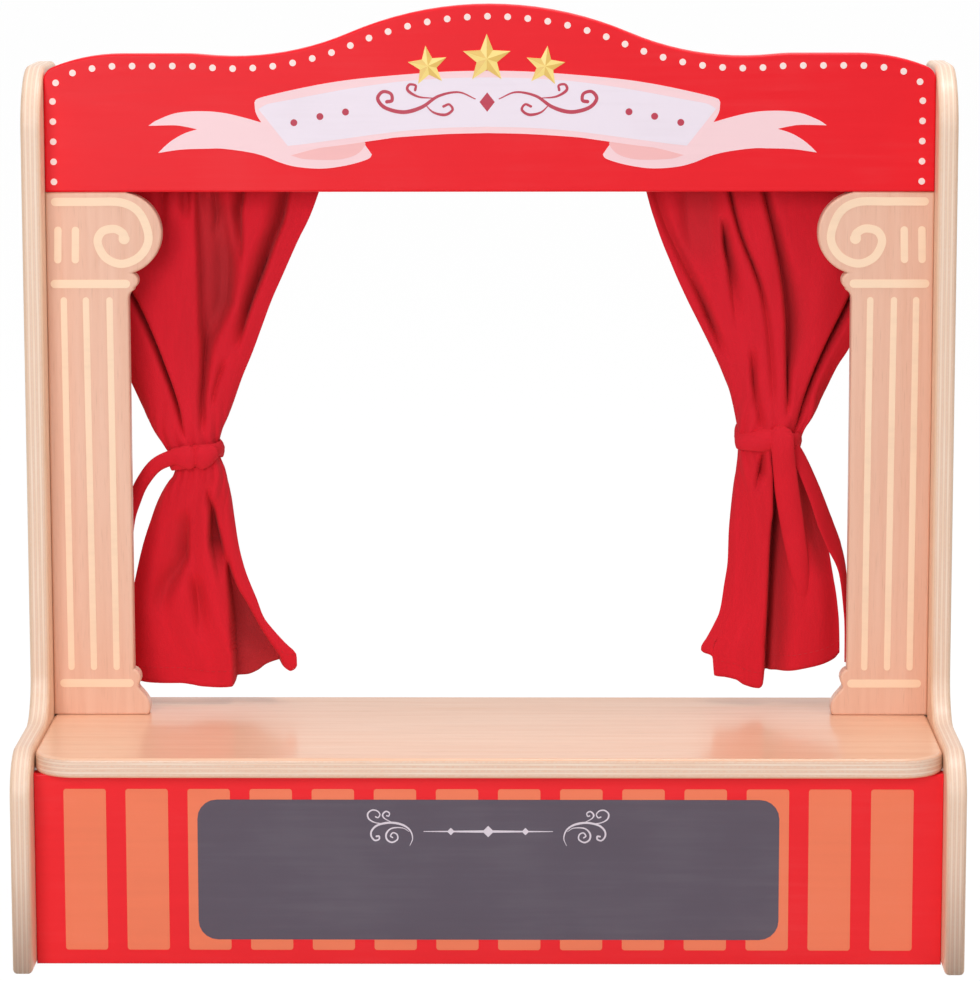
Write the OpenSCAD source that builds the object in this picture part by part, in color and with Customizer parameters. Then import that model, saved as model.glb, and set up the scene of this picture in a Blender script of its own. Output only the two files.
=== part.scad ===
// Table-top puppet theatre: two stepped plywood sides carry a stage shelf, a front panel,
// a header board on two flat Ionic columns, and a rod with a pair of tied-back curtains.
// Millimetres, +Z up, front towards -Y, origin on the table under the middle of the theatre.

/* [Boards] */
// Width over the two side panels
theatre_w = 560; // [480:5:700]
// Depth of the side panels at the foot
foot_d = 230; // [220:5:320]
// Thickness of every board
board_t = 12; // [10:0.5:16]

/* [Side panels] */
// Height of the side panels
side_h = 525; // [518:1:700]
// Depth of the wing above the step
wing_d = 119; // [105:1:135]
// Radius of the two top corners of the wing
wing_top_r = 38; // [8:1:45]
// Radius of the front corner of the foot
foot_nose_r = 28; // [8:1:45]
// Radius of the fillet between the ledge and the wing
step_fillet_r = 26; // [8:1:40]
// Height of the ledge above the stage shelf
ledge_rise = 3.5; // [0.5:0.5:8]

/* [Stage shelf] */
// Height of the top of the shelf above the table
shelf_h = 128; // [100:1:180]
// Depth of the shelf
shelf_d = 180; // [165:1:205]
// Distance of the shelf behind the front of the foot
shelf_setback = 7; // [0:1:12]
// Radius of the two front corners of the shelf
shelf_corner_r = 26; // [4:1:40]

/* [Front panel] */
// Distance of the panel behind the front of the foot
panel_setback = 20; // [16:1:40]
// Gap between the panel and the table
panel_lift = 0.5; // [0.5:0.5:6]

/* [Header board] */
// Height of the stage opening, from the shelf to the header
opening_h = 321.5; // [290:0.5:380]
// Distance of the header and columns behind the front of the wing
header_setback = 20; // [4:1:24]
// Height of the header at its two shoulders
shoulder_h = 83; // [76:1:100]
// Height of the header at the middle of its crest
crest_h = 112.5; // [104:0.5:130]
// Distance of each shoulder's flat top from the end of the board
shoulder_inset = 47; // [30:1:70]
// Length of the flat top of each shoulder
shoulder_flat = 38; // [10:1:60]
// Radius at both ends of the shoulder's flat top
shoulder_r = 113; // [90:1:150]
// Radius of the crest
crest_r = 215; // [180:1:260]
// Radius of the hollow between shoulder and crest
hollow_r = 175; // [120:1:240]
// Radius of the two outer top corners
header_corner_r = 9; // [2:1:14]

/* [Columns] */
// Width of the shaft
shaft_w = 49.5; // [40:0.5:60]
// Distance that the volute stands out beyond the shaft
volute_reach = 20.5; // [14:0.5:30]
// Radius of the volute
volute_r = 25; // [20:0.5:28]
// Distance that the neck bead stands out beyond the shaft
neck_reach = 6; // [3:0.5:10]
// Radius of the neck bead
neck_bead_r = 5; // [4:0.5:8]
// Radius of the hollow under the neck bead
neck_cove_r = 6; // [3:0.5:8]
// Distance that the foot roll stands out beyond the shaft
foot_roll_reach = 10; // [6:0.1:14]
// Radius of the foot roll
foot_roll_r = 8.2; // [6:0.1:11]
// Distance that the bead over the foot roll stands out beyond the shaft
foot_bead_reach = 4.8; // [2:0.1:6]
// Radius of the bead over the foot roll
foot_bead_r = 5; // [3:0.1:6]

/* [Curtain rod] */
// Diameter of the rod
rod_d = 12; // [10:0.5:14]
// Height of the rod above the lower edge of the header
rod_rise = 27; // [20:1:40]
// Distance of the rod behind the back of the header
rod_setback = 22; // [18:1:28]
// Depth of the blind hole for the rod in each side
rod_seat = 8; // [5:0.5:9]

/* [Curtains] */
// Frill of the heading above the rod
frill_h = 20; // [14:1:30]
// Gap between the hem and the shelf
hem_gap = 10; // [6:1:30]
// Height of the left waist above the shelf
left_waist_rise = 155; // [130:1:190]
// Height of the right waist above the shelf
right_waist_rise = 166; // [130:1:190]
// Thickness of the gathered cloth
cloth_t = 3; // [2:0.25:4]
// Number of main folds across one curtain
folds = 6; // [4:1:8]
// Depth of a main fold from its middle
fold_depth = 9; // [5:0.5:12]
// Depth of the bunch at the waist
bunch_d = 26; // [20:1:30]
// Distance of the outer edge of each heading from the side panel
heading_gap = 6; // [3:1:12]
// Width of the left heading along the rod
left_heading_w = 166; // [130:1:180]
// Width of the right heading along the rod
right_heading_w = 173; // [130:1:180]
// Distance of the middle of the left waist from the side panel
left_waist_in = 87; // [70:1:100]
// Distance of the middle of the right waist from the side panel
right_waist_in = 96.5; // [70:0.5:110]
// Width of the left waist
left_waist_w = 30; // [30:1:45]
// Width of the right waist
right_waist_w = 40; // [30:1:45]
// Distance of the outer end of the left hem from the side panel
left_hem_in = 50; // [30:1:70]
// Distance of the outer end of the right hem from the side panel
right_hem_in = 51; // [30:1:70]
// Width of the left hem
left_hem_w = 96; // [70:1:120]
// Width of the right hem
right_hem_w = 86; // [70:1:120]

/* [Curtain ties] */
// Height of the band round the waist
tie_band_h = 14; // [8:1:20]
// Thickness of the band and its tails
tie_t = 1.6; // [1:0.1:2.5]
// Width of a tail
tie_tail_w = 11; // [8:0.5:14]
// Radius of the bend where a tail leaves the band
tie_bend_r = 22; // [14:1:28]
// Straight length of the outer tail under its bend
outer_tail_l = 118; // [40:1:125]
// Length of the front tail of the right tie
front_tail_l = 76; // [40:1:110]
// Distance of the knot outwards from the middle of the right waist
knot_out = 8; // [0:1:12]
// Radius of the knot
knot_r = 5; // [4:0.5:7]

/* [Fasteners] */
// Diameter of the connector bolts
bolt_d = 5; // [4:0.5:6]
// Diameter of the flat bolt heads
bolt_head_d = 13; // [10:0.5:15]
// Thickness of the flat bolt heads
bolt_head_t = 2.2; // [1.5:0.1:3]
// Distance of each barrel nut from the end of its board
nut_inset = 22; // [16:1:30]
// Diameter of the barrel nuts
nut_d = 8; // [7.5:0.5:9]
// Distance of the shelf bolts from the front and back of the shelf
shelf_bolt_in = 38; // [30:1:50]
// Distance of the panel bolts from the top and foot of the panel
panel_bolt_in = 30; // [24:1:38]
// Height of the lower header bolts above the edge of the header
header_bolt_low = 25; // [24:1:28]
// Height of the upper header bolts above the edge of the header
header_bolt_high = 51; // [45:1:54]
// Diameter of the wooden dowels
dowel_d = 6; // [5:0.5:7]
// Length of a dowel in the edge of an upright board
dowel_l = 14; // [10:1:20]

/* [Clearances] */
// Gap round bolts, nuts and dowels in their holes
fit_gap = 0.15; // [0.1:0.05:0.3]
// Gap between the cloth and the rod, and between a tie and its waist
cloth_gap = 0.4; // [0.3:0.05:0.8]
// Wood left between a blind hole and the far face
blind_skin = 2.5; // [1.5:0.5:4]

/* [Hidden] */
$fn = 96;

// Faces of the boards
inner_x = theatre_w / 2 - board_t;
inner_w = 2 * inner_x;
foot_front = -foot_d / 2;
foot_back = foot_d / 2;
wing_front = foot_back - wing_d;
ledge_h = shelf_h + ledge_rise;
shelf_front = foot_front + shelf_setback;
panel_front = foot_front + panel_setback;
panel_mid = panel_front + board_t / 2;
panel_h = shelf_h - board_t - panel_lift;
header_z = shelf_h + opening_h;
header_front = wing_front + header_setback;
header_mid = header_front + board_t / 2;
rod_y = header_front + board_t + rod_setback;
rod_z = header_z + rod_rise;

// Holes and what goes in them
bolt_hole_d = bolt_d + 2 * fit_gap;
nut_hole_d = nut_d + 2 * fit_gap;
dowel_hole_d = dowel_d + 2 * fit_gap;
rod_hole_d = rod_d + 2 * fit_gap;
nut_hole_l = board_t - blind_skin;
nut_l = nut_hole_l - fit_gap;
bolt_l = board_t + nut_inset + nut_d;
dowel_in_shelf = board_t - blind_skin;
dowel_x = inner_x - shaft_w / 2;
panel_dowel_x = inner_w / 3;
cut = 1;

// Bolt places along the end of each board
shelf_bolt_y = [shelf_front + shelf_bolt_in, shelf_front + shelf_d - shelf_bolt_in];
panel_bolt_z = [panel_lift + panel_bolt_in, panel_lift + panel_h - panel_bolt_in];
header_bolt_z = [header_z + header_bolt_low, header_z + header_bolt_high];

// Corner of a plate: what a radius takes off the lower left corner at the origin
module corner_cut(r) {
    difference() {
        translate([-cut, -cut]) square(r + cut);
        translate([r, r]) circle(r);
    }
}

// Stand a shape drawn in depth and height on a plane across X, from x to x + board_t
module across(x) {
    translate([x, 0, 0]) rotate([90, 0, 90]) linear_extrude(board_t) children();
}

// Stand a shape drawn in width and height, with its front face at y
module facing(y) {
    translate([0, y + board_t, 0]) rotate([90, 0, 0]) linear_extrude(board_t) children();
}

// Repeat for both ends of a board; the children are made for the right end
module both_ends() {
    children();
    mirror([1, 0, 0]) children();
}

// Cylinder along X from x0 to x1
module rod_along_x(d, x0, x1, y, z) {
    translate([x0, y, z]) rotate([0, 90, 0]) cylinder(d = d, h = x1 - x0);
}

// Side panels

module side_outline() {
    difference() {
        translate([foot_front, 0]) square([foot_d, ledge_h]);
        translate([foot_front, ledge_h]) mirror([0, 1]) corner_cut(foot_nose_r);
    }
    difference() {
        translate([wing_front, 0]) square([wing_d, side_h]);
        translate([wing_front, side_h]) mirror([0, 1]) corner_cut(wing_top_r);
        translate([foot_back, side_h]) rotate(180) corner_cut(wing_top_r);
    }
    translate([wing_front - step_fillet_r, ledge_h]) difference() {
        square(step_fillet_r);
        translate([0, step_fillet_r]) circle(step_fillet_r);
    }
}

// Through hole and countersunk seat for one connector bolt in the right side
module side_bolt_hole(y, z) {
    rod_along_x(bolt_hole_d, inner_x - cut, theatre_w / 2 + cut, y, z);
    rod_along_x(bolt_head_d + 2 * fit_gap, theatre_w / 2 - bolt_head_t, theatre_w / 2 + cut, y, z);
}

module right_side() {
    difference() {
        across(inner_x) side_outline();
        for (y = shelf_bolt_y) side_bolt_hole(y, shelf_h - board_t / 2);
        for (z = panel_bolt_z) side_bolt_hole(panel_mid, z);
        for (z = header_bolt_z) side_bolt_hole(header_mid, z);
        rod_along_x(rod_hole_d, inner_x - cut, inner_x + rod_seat, rod_y, rod_z);
    }
}

module side_panel_right() { color("bisque") right_side(); }
module side_panel_left() { color("bisque") mirror([1, 0, 0]) right_side(); }

// Hole in the end of a board for a bolt, as long as the bolt reaches past its nut
module end_bolt_hole(y, z) {
    rod_along_x(bolt_hole_d, inner_x - nut_inset - nut_d - fit_gap, inner_x + cut, y, z);
}

// Blind hole from the back face of an upright board for a barrel nut
module upright_nut_hole(y_back, z) {
    translate([inner_x - nut_inset, y_back + cut, z])
        rotate([90, 0, 0]) cylinder(d = nut_hole_d, h = nut_hole_l + cut);
}

// Stage shelf

module stage_shelf() {
    color("peachpuff") difference() {
        translate([-inner_x, shelf_front, shelf_h - board_t]) linear_extrude(board_t) difference() {
            square([inner_w, shelf_d]);
            corner_cut(shelf_corner_r);
            translate([inner_w, 0]) mirror([1, 0]) corner_cut(shelf_corner_r);
        }
        both_ends() for (y = shelf_bolt_y) {
            end_bolt_hole(y, shelf_h - board_t / 2);
            translate([inner_x - nut_inset, y, shelf_h - board_t - cut])
                cylinder(d = nut_hole_d, h = nut_hole_l + cut);
        }
        both_ends() translate([dowel_x, header_mid, shelf_h - dowel_in_shelf])
            cylinder(d = dowel_hole_d, h = dowel_in_shelf + cut);
        for (x = [-panel_dowel_x, 0, panel_dowel_x])
            translate([x, panel_mid, shelf_h - board_t - cut])
                cylinder(d = dowel_hole_d, h = dowel_in_shelf + cut);
    }
}

// Front panel

module front_panel() {
    color("crimson") difference() {
        facing(panel_front) translate([-inner_x, panel_lift]) square([inner_w, panel_h]);
        both_ends() for (z = panel_bolt_z) {
            end_bolt_hole(panel_mid, z);
            upright_nut_hole(panel_front + board_t, z);
        }
        for (x = [-panel_dowel_x, 0, panel_dowel_x])
            translate([x, panel_mid, shelf_h - board_t - dowel_l - fit_gap])
                cylinder(d = dowel_hole_d, h = dowel_l + fit_gap + cut);
    }
}

// Header board: shoulder and crest arcs joined by a hollow that touches both

// Upper meeting point of the circles of radius ra about a and rb about b
function circles_meet(a, ra, b, rb) =
    let (ab = b - a, d = norm(ab), e = ab / d,
         along = (ra * ra - rb * rb + d * d) / (2 * d),
         up = sqrt(ra * ra - along * along))
    a + along * e + up * [-e[1], e[0]];

shoulder_outer_c = [shoulder_inset - inner_x, shoulder_h - shoulder_r];
shoulder_c = shoulder_outer_c + [shoulder_flat, 0];
crest_c = [0, crest_h - crest_r];
hollow_c = circles_meet(shoulder_c, shoulder_r + hollow_r, crest_c, crest_r + hollow_r);

// Round at each end of the board: it touches the end and the outer shoulder arc
end_round_c = [header_corner_r - inner_x, shoulder_outer_c[1]
    + sqrt(pow(shoulder_r - header_corner_r, 2) - pow(shoulder_inset - header_corner_r, 2))];
end_round_touch = shoulder_outer_c
    + (end_round_c - shoulder_outer_c) * shoulder_r / (shoulder_r - header_corner_r);

module header_end_cut() {
    difference() {
        polygon([[-inner_x - cut, end_round_c[1]], end_round_c, end_round_touch,
                 end_round_touch + [0, cut], [-inner_x - cut, end_round_touch[1] + cut]]);
        translate(end_round_c) circle(header_corner_r);
    }
}

module half_header() {
    for (c = [shoulder_outer_c, shoulder_c]) translate(c) circle(shoulder_r);
    translate(shoulder_outer_c) square([shoulder_flat, shoulder_r]);
    difference() {
        polygon([shoulder_c, crest_c, hollow_c]);
        translate(hollow_c) circle(hollow_r);
    }
}

module header_outline() {
    difference() {
        intersection() {
            translate([-inner_x, 0]) square([inner_w, crest_h + cut]);
            union() {
                translate(crest_c) circle(crest_r);
                half_header();
                mirror([1, 0]) half_header();
            }
        }
        header_end_cut();
        mirror([1, 0]) header_end_cut();
    }
}

module header_board() {
    color("crimson") difference() {
        facing(header_front) translate([0, header_z]) header_outline();
        both_ends() for (z = header_bolt_z) {
            end_bolt_hole(header_mid, z);
            upright_nut_hole(header_front + board_t, z);
        }
        both_ends() translate([dowel_x, header_mid, header_z - cut])
            cylinder(d = dowel_hole_d, h = dowel_l + fit_gap + cut);
    }
}

// Columns, drawn from the side panel inwards: shaft, volute, neck bead and foot mouldings

// Flat roll of radius r with its middle at height z, reaching out past the shaft
module moulding(reach, r, z) {
    translate([0, z - r]) square([shaft_w + reach - r, 2 * r]);
    translate([shaft_w + reach - r, z]) circle(r);
}

module column_outline() {
    neck_z = opening_h - 2 * volute_r - neck_bead_r + neck_bead_r / 4;
    foot_bead_z = 2 * foot_roll_r + foot_bead_r * 0.8;
    square([shaft_w, opening_h]);
    moulding(volute_reach, volute_r, opening_h - volute_r);
    moulding(neck_reach, neck_bead_r, neck_z);
    moulding(foot_roll_reach, foot_roll_r, foot_roll_r);
    moulding(foot_bead_reach, foot_bead_r, foot_bead_z);
    translate([shaft_w, neck_z - neck_bead_r - neck_cove_r]) difference() {
        square([neck_reach - neck_bead_r / 2, neck_cove_r + neck_bead_r]);
        translate([neck_reach, 0]) circle(neck_cove_r);
    }
}

module right_column() {
    difference() {
        facing(header_front) translate([inner_x, shelf_h]) mirror([1, 0]) column_outline();
        translate([dowel_x, header_mid, shelf_h - cut])
            cylinder(d = dowel_hole_d, h = dowel_l + fit_gap + cut);
        translate([dowel_x, header_mid, header_z - dowel_l - fit_gap])
            cylinder(d = dowel_hole_d, h = dowel_l + fit_gap + cut);
    }
}

module column_right() { color("burlywood") right_column(); }
module column_left() { color("burlywood") mirror([1, 0, 0]) right_column(); }

// Curtain rod, held at both ends in blind holes in the sides

module curtain_rod() {
    rod_end = inner_x + rod_seat - fit_gap;
    color("wheat") rod_along_x(rod_d, -rod_end, rod_end, rod_y, rod_z);
}

// Curtains: one gathered sheet each, threaded on the rod and drawn in at the waist.
// A curtain is drawn for the right side; x runs inwards from the side panel.

pocket_r = rod_d / 2 + cloth_gap;
pocket_wall = cloth_t / 2;
pocket_ripple = 2;
pocket_half = pocket_r + pocket_ripple + pocket_wall;
pocket_top = rod_z + pocket_half;
pocket_foot = rod_z - pocket_half;
hem_z = shelf_h + hem_gap;
waist_half = tie_band_h / 2 + 1;
upper_rows = 6;
lower_rows = 6;
columns_per_fold = 6;
// How fast the bunch opens away from the waist, and how late the hem flares
bunch_grip = 5;
hem_flare = 1.5;
// Share of the fold's depth just under the rod, and sideways drift of the folds in degrees
fold_start = 0.35;
fold_drift = 30;

function mix(a, b, t) = a + (b - a) * t;

// Heights of the rows of points, from the frill down to the hem
function row_heights(waist_z) = concat(
    [rod_z + frill_h, pocket_top, pocket_foot],
    [for (i = [1 : upper_rows]) mix(pocket_foot, waist_z + waist_half, i / upper_rows)],
    [for (i = [0 : lower_rows]) mix(waist_z - waist_half, hem_z, i / lower_rows)]);

// Share of the way from the rod to the waist, and from the waist to the hem
function share(from, to, z) = max(0, min(1, (from - z) / (from - to)));
function above_waist(z, waist_z) = share(pocket_foot, waist_z + waist_half, z);
function below_waist(z, waist_z) = share(waist_z - waist_half, hem_z, z);

// How tightly the cloth is bunched at a height: 1 at the waist, 0 well away from it
function bunching(z, waist_z) =
    pow(z > waist_z ? above_waist(z, waist_z) : 1 - below_waist(z, waist_z), bunch_grip);

// Edge of the cloth at a height, between its places at the heading, waist and hem
function edge_x(z, waist_z, heading, waist, hem) =
    z > waist_z ? mix(heading, waist, above_waist(z, waist_z))
                : mix(waist, hem, pow(below_waist(z, waist_z), hem_flare));

// Middle and half thickness of the cloth at a share u of its width
function fold_wave(u, z, waist_z) =
    let (opening = min(1, fold_start + above_waist(z, waist_z) * 2),
         free = fold_depth * opening * (1 - bunching(z, waist_z)))
    (z < pocket_foot ? free : pocket_ripple) * cos(360 * folds * u + fold_drift * sin(360 * u));
function half_cloth(u, z, waist_z) =
    let (round_end = sqrt(max(0.04, 1 - pow(2 * u - 1, 2))))
    z > pocket_top ? cloth_t
    : z >= pocket_foot ? pocket_half
    : mix(cloth_t / 2, bunch_d / 2 * round_end, bunching(z, waist_z));

// Two triangles of a four-cornered patch
function quad(a, b, c, d) = [[a, b, c], [a, c, d]];

module curtain_solid(waist_z, heading, waist, hem) {
    columns = folds * columns_per_fold;
    row_z = row_heights(waist_z);
    rows = len(row_z) - 1;
    per_row = columns + 1;
    sheet = per_row * (rows + 1);
    points = [for (side = [-1, 1]) for (z = row_z) for (i = [0 : columns])
        let (u = i / columns,
             outer = edge_x(z, waist_z, heading[0], waist[0], hem[0]),
             inner = edge_x(z, waist_z, heading[1], waist[1], hem[1]))
        [inner_x - mix(outer, inner, u),
         rod_y + fold_wave(u, z, waist_z) + side * half_cloth(u, z, waist_z), z]];
    function at(side, j, i) = side * sheet + j * per_row + i;
    front_and_back = [for (j = [0 : rows - 1]) for (i = [0 : columns - 1]) each concat(
        quad(at(0, j, i), at(0, j, i + 1), at(0, j + 1, i + 1), at(0, j + 1, i)),
        quad(at(1, j, i), at(1, j + 1, i), at(1, j + 1, i + 1), at(1, j, i + 1)))];
    edges = [for (j = [0 : rows - 1]) each concat(
        quad(at(0, j, 0), at(0, j + 1, 0), at(1, j + 1, 0), at(1, j, 0)),
        quad(at(0, j, columns), at(1, j, columns), at(1, j + 1, columns), at(0, j + 1, columns)))];
    frill_and_hem = [for (i = [0 : columns - 1]) each concat(
        quad(at(0, 0, i), at(1, 0, i), at(1, 0, i + 1), at(0, 0, i + 1)),
        quad(at(0, rows, i), at(0, rows, i + 1), at(1, rows, i + 1), at(1, rows, i)))];
    difference() {
        polyhedron(points, concat(front_and_back, edges, frill_and_hem));
        rod_along_x(2 * pocket_r, 0, inner_x, rod_y, rod_z);
    }
}

// Outer and inner edge, measured from the side panel
function span(start, width) = [start, start + width];
function about(middle, width) = [middle - width / 2, middle + width / 2];

module curtain_right() {
    color("firebrick")
        curtain_solid(shelf_h + right_waist_rise, span(heading_gap, right_heading_w),
                      about(right_waist_in, right_waist_w), span(right_hem_in, right_hem_w));
}

module curtain_left() {
    color("firebrick") mirror([1, 0, 0])
        curtain_solid(shelf_h + left_waist_rise, span(heading_gap, left_heading_w),
                      about(left_waist_in, left_waist_w), span(left_hem_in, left_hem_w));
}

// Curtain ties: a band round the waist, a knot and two hanging tails

// Outline with round ends, as long as the waist is wide and as deep as the bunch
module waist_outline(waist_w, grow) {
    r = bunch_d / 2 + grow;
    straight = max(0, waist_w - bunch_d);
    square([straight, 2 * r], center = true);
    for (s = [-1, 1]) translate([s * straight / 2, 0]) circle(r);
}

module tie_band(waist_w) {
    translate([0, 0, -tie_band_h / 2]) linear_extrude(tie_band_h) difference() {
        waist_outline(waist_w, cloth_gap + tie_t);
        waist_outline(waist_w, cloth_gap);
    }
}

// Tail that leaves the band outwards, bends over and hangs
module outer_tail(start) {
    translate([start, tie_tail_w / 2, 0]) rotate([90, 0, 0]) linear_extrude(tie_tail_w) {
        translate([0, -tie_bend_r]) intersection() {
            difference() {
                circle(tie_bend_r + tie_t / 2);
                circle(tie_bend_r - tie_t / 2);
            }
            square(tie_bend_r + tie_t);
        }
        translate([tie_bend_r - tie_t / 2, -tie_bend_r - outer_tail_l]) square([tie_t, outer_tail_l]);
    }
}

// Tail that hangs down flat in front of the bunch
module front_tail() {
    translate([-tie_tail_w / 2, 0, -front_tail_l]) cube([tie_tail_w, tie_t, front_tail_l]);
}

module tie(waist_rise, waist_in, waist_w) {
    band_x = max(waist_w, bunch_d) / 2 + cloth_gap + tie_t;
    translate([inner_x - waist_in, rod_y, shelf_h + waist_rise]) {
        tie_band(waist_w);
        outer_tail(band_x - tie_t / 2);
        children();
    }
}

module curtain_tie_right() {
    knot_y = -bunch_d / 2 - cloth_gap - knot_r;
    color("brown") tie(right_waist_rise, right_waist_in, right_waist_w) {
        translate([knot_out, knot_y, 0]) sphere(knot_r);
        translate([knot_out, knot_y - tie_t / 2, 0]) front_tail();
    }
}

module curtain_tie_left() {
    color("brown") mirror([1, 0, 0]) tie(left_waist_rise, left_waist_in, left_waist_w);
}

// Connector bolts and their barrel nuts

module end_bolt(y, z) {
    rod_along_x(bolt_d, theatre_w / 2 - bolt_l, theatre_w / 2 - bolt_head_t / 2, y, z);
    rod_along_x(bolt_head_d, theatre_w / 2 - bolt_head_t, theatre_w / 2, y, z);
}

// Barrel nut drawn along Z from the origin, with its cross hole for the bolt at mid board
module barrel_nut() {
    difference() {
        cylinder(d = nut_d, h = nut_l);
        rod_along_x(bolt_hole_d, -nut_d, nut_d, 0, board_t / 2);
    }
}

module upright_nut(y_back, z) {
    translate([inner_x - nut_inset, y_back, z]) rotate([90, 0, 0]) barrel_nut();
}

module shelf_bolts() {
    color("silver") both_ends() for (y = shelf_bolt_y) end_bolt(y, shelf_h - board_t / 2);
}

module shelf_barrel_nuts() {
    color("silver") both_ends() for (y = shelf_bolt_y)
        translate([inner_x - nut_inset, y, shelf_h - board_t]) barrel_nut();
}

module front_panel_bolts() {
    color("silver") both_ends() for (z = panel_bolt_z) end_bolt(panel_mid, z);
}

module front_panel_barrel_nuts() {
    color("silver") both_ends() for (z = panel_bolt_z) upright_nut(panel_front + board_t, z);
}

module header_bolts() {
    color("silver") both_ends() for (z = header_bolt_z) end_bolt(header_mid, z);
}

module header_barrel_nuts() {
    color("silver") both_ends() for (z = header_bolt_z) upright_nut(header_front + board_t, z);
}

// Wooden dowels

module column_top_dowels() {
    color("tan") both_ends() translate([dowel_x, header_mid, header_z - dowel_l])
        cylinder(d = dowel_d, h = 2 * dowel_l);
}

module column_base_dowels() {
    color("tan") both_ends() translate([dowel_x, header_mid, shelf_h - dowel_in_shelf + fit_gap])
        cylinder(d = dowel_d, h = dowel_in_shelf - fit_gap + dowel_l);
}

module front_panel_dowels() {
    color("tan") for (x = [-panel_dowel_x, 0, panel_dowel_x])
        translate([x, panel_mid, shelf_h - board_t - dowel_l])
            cylinder(d = dowel_d, h = dowel_l + dowel_in_shelf - fit_gap);
}

side_panel_left();
side_panel_right();
stage_shelf();
front_panel();
header_board();
column_left();
column_right();
curtain_rod();
curtain_left();
curtain_right();
curtain_tie_left();
curtain_tie_right();
shelf_bolts();
shelf_barrel_nuts();
front_panel_bolts();
front_panel_barrel_nuts();
header_bolts();
header_barrel_nuts();
column_top_dowels();
column_base_dowels();
front_panel_dowels();
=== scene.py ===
import math
import bmesh
import bpy
import numpy as np
from mathutils import Matrix, Vector


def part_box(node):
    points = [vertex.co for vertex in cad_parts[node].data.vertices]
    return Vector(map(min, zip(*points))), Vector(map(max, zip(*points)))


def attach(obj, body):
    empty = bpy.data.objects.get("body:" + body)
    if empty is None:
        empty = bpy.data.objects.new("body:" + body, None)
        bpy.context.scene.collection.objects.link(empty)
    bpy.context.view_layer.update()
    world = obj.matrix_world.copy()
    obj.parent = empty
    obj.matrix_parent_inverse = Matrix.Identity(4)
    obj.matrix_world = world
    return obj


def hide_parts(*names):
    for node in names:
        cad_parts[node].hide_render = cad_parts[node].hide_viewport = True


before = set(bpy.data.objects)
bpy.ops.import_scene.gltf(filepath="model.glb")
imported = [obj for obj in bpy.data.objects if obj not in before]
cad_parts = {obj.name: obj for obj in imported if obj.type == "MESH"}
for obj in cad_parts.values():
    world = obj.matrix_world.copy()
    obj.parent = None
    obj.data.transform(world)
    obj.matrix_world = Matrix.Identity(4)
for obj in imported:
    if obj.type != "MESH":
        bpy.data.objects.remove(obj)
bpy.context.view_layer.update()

scene = bpy.context.scene
scene.view_settings.view_transform = "Standard"

# Camera and studio. A long lens looks down a little from in front of the stage, as in the
# photograph. Three soft boxes and a pale surround light the toy on a plain white floor.
eye = Vector((0.0294, -2.5253, 0.6663))
yaw, pitch, roll = -0.01152, 0.15562, -0.0016
ahead = Vector((math.cos(pitch) * math.sin(yaw), math.cos(pitch) * math.cos(yaw), -math.sin(pitch)))
level = Vector((math.cos(yaw), -math.sin(yaw), 0.0))
upright = level.cross(ahead)
cam_x = math.cos(roll) * level + math.sin(roll) * upright
cam_y = math.cos(roll) * upright - math.sin(roll) * level
lens = bpy.data.cameras.new("photo_lens")
lens.lens, lens.sensor_width = 155.05, 36.0
lens.clip_start, lens.clip_end = 0.05, 60.0
camera = bpy.data.objects.new("photo_camera", lens)
camera.matrix_world = Matrix((
    (cam_x.x, cam_y.x, -ahead.x, eye.x),
    (cam_x.y, cam_y.y, -ahead.y, eye.y),
    (cam_x.z, cam_y.z, -ahead.z, eye.z),
    (0, 0, 0, 1)))
scene.collection.objects.link(camera)
scene.camera = camera

aim = Vector((0.0, 0.0, 0.28))
for box_name, place, side, watts in (
        ("soft_box_left", (-0.78, -2.5, 1.0), 1.2, 29.0),
        ("soft_box_right", (1.6, -2.1, 1.15), 1.5, 5.0),
        ("soft_box_top", (0.25, -0.1, 2.2), 0.7, 20.0)):
    lamp = bpy.data.lights.new(box_name, "AREA")
    lamp.shape, lamp.size, lamp.energy = "SQUARE", side, watts
    soft_box = bpy.data.objects.new(box_name, lamp)
    soft_box.location = place
    soft_box.rotation_euler = (aim - Vector(place)).to_track_quat("-Z", "Y").to_euler()
    scene.collection.objects.link(soft_box)


def put(tree, kind, *wires, **settings):
    """Adds a node with its settings; each wire is an input and the value or socket it takes."""
    node = tree.nodes.new(kind)
    for key, value in settings.items():
        setattr(node, key, value)
    for where, what in wires:
        if isinstance(what, bpy.types.NodeSocket):
            tree.links.new(what, node.inputs[where])
        else:
            node.inputs[where].default_value = what
    return node


def seen_directly(tree):
    """1 for rays that should meet the white surround: camera, mirror and glass rays."""
    path = put(tree, "ShaderNodeLightPath")
    most = put(tree, "ShaderNodeMath", (0, path.outputs["Is Camera Ray"]),
               (1, path.outputs["Is Glossy Ray"]), operation="MAXIMUM")
    most = put(tree, "ShaderNodeMath", (0, most.outputs[0]),
               (1, path.outputs["Is Transmission Ray"]), operation="MAXIMUM")
    return most.outputs[0]


WHITE = (1, 1, 1, 1)
surround_light = 0.38
world = bpy.data.worlds.new("white_surround")
world.use_nodes = True
scene.world = world
air = world.node_tree
sky = air.nodes["Background"]
strength = put(air, "ShaderNodeMapRange", (0, seen_directly(air)), (3, surround_light), (4, 1.0))
sky.inputs["Color"].default_value = WHITE
air.links.new(strength.outputs[0], sky.inputs["Strength"])

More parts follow.
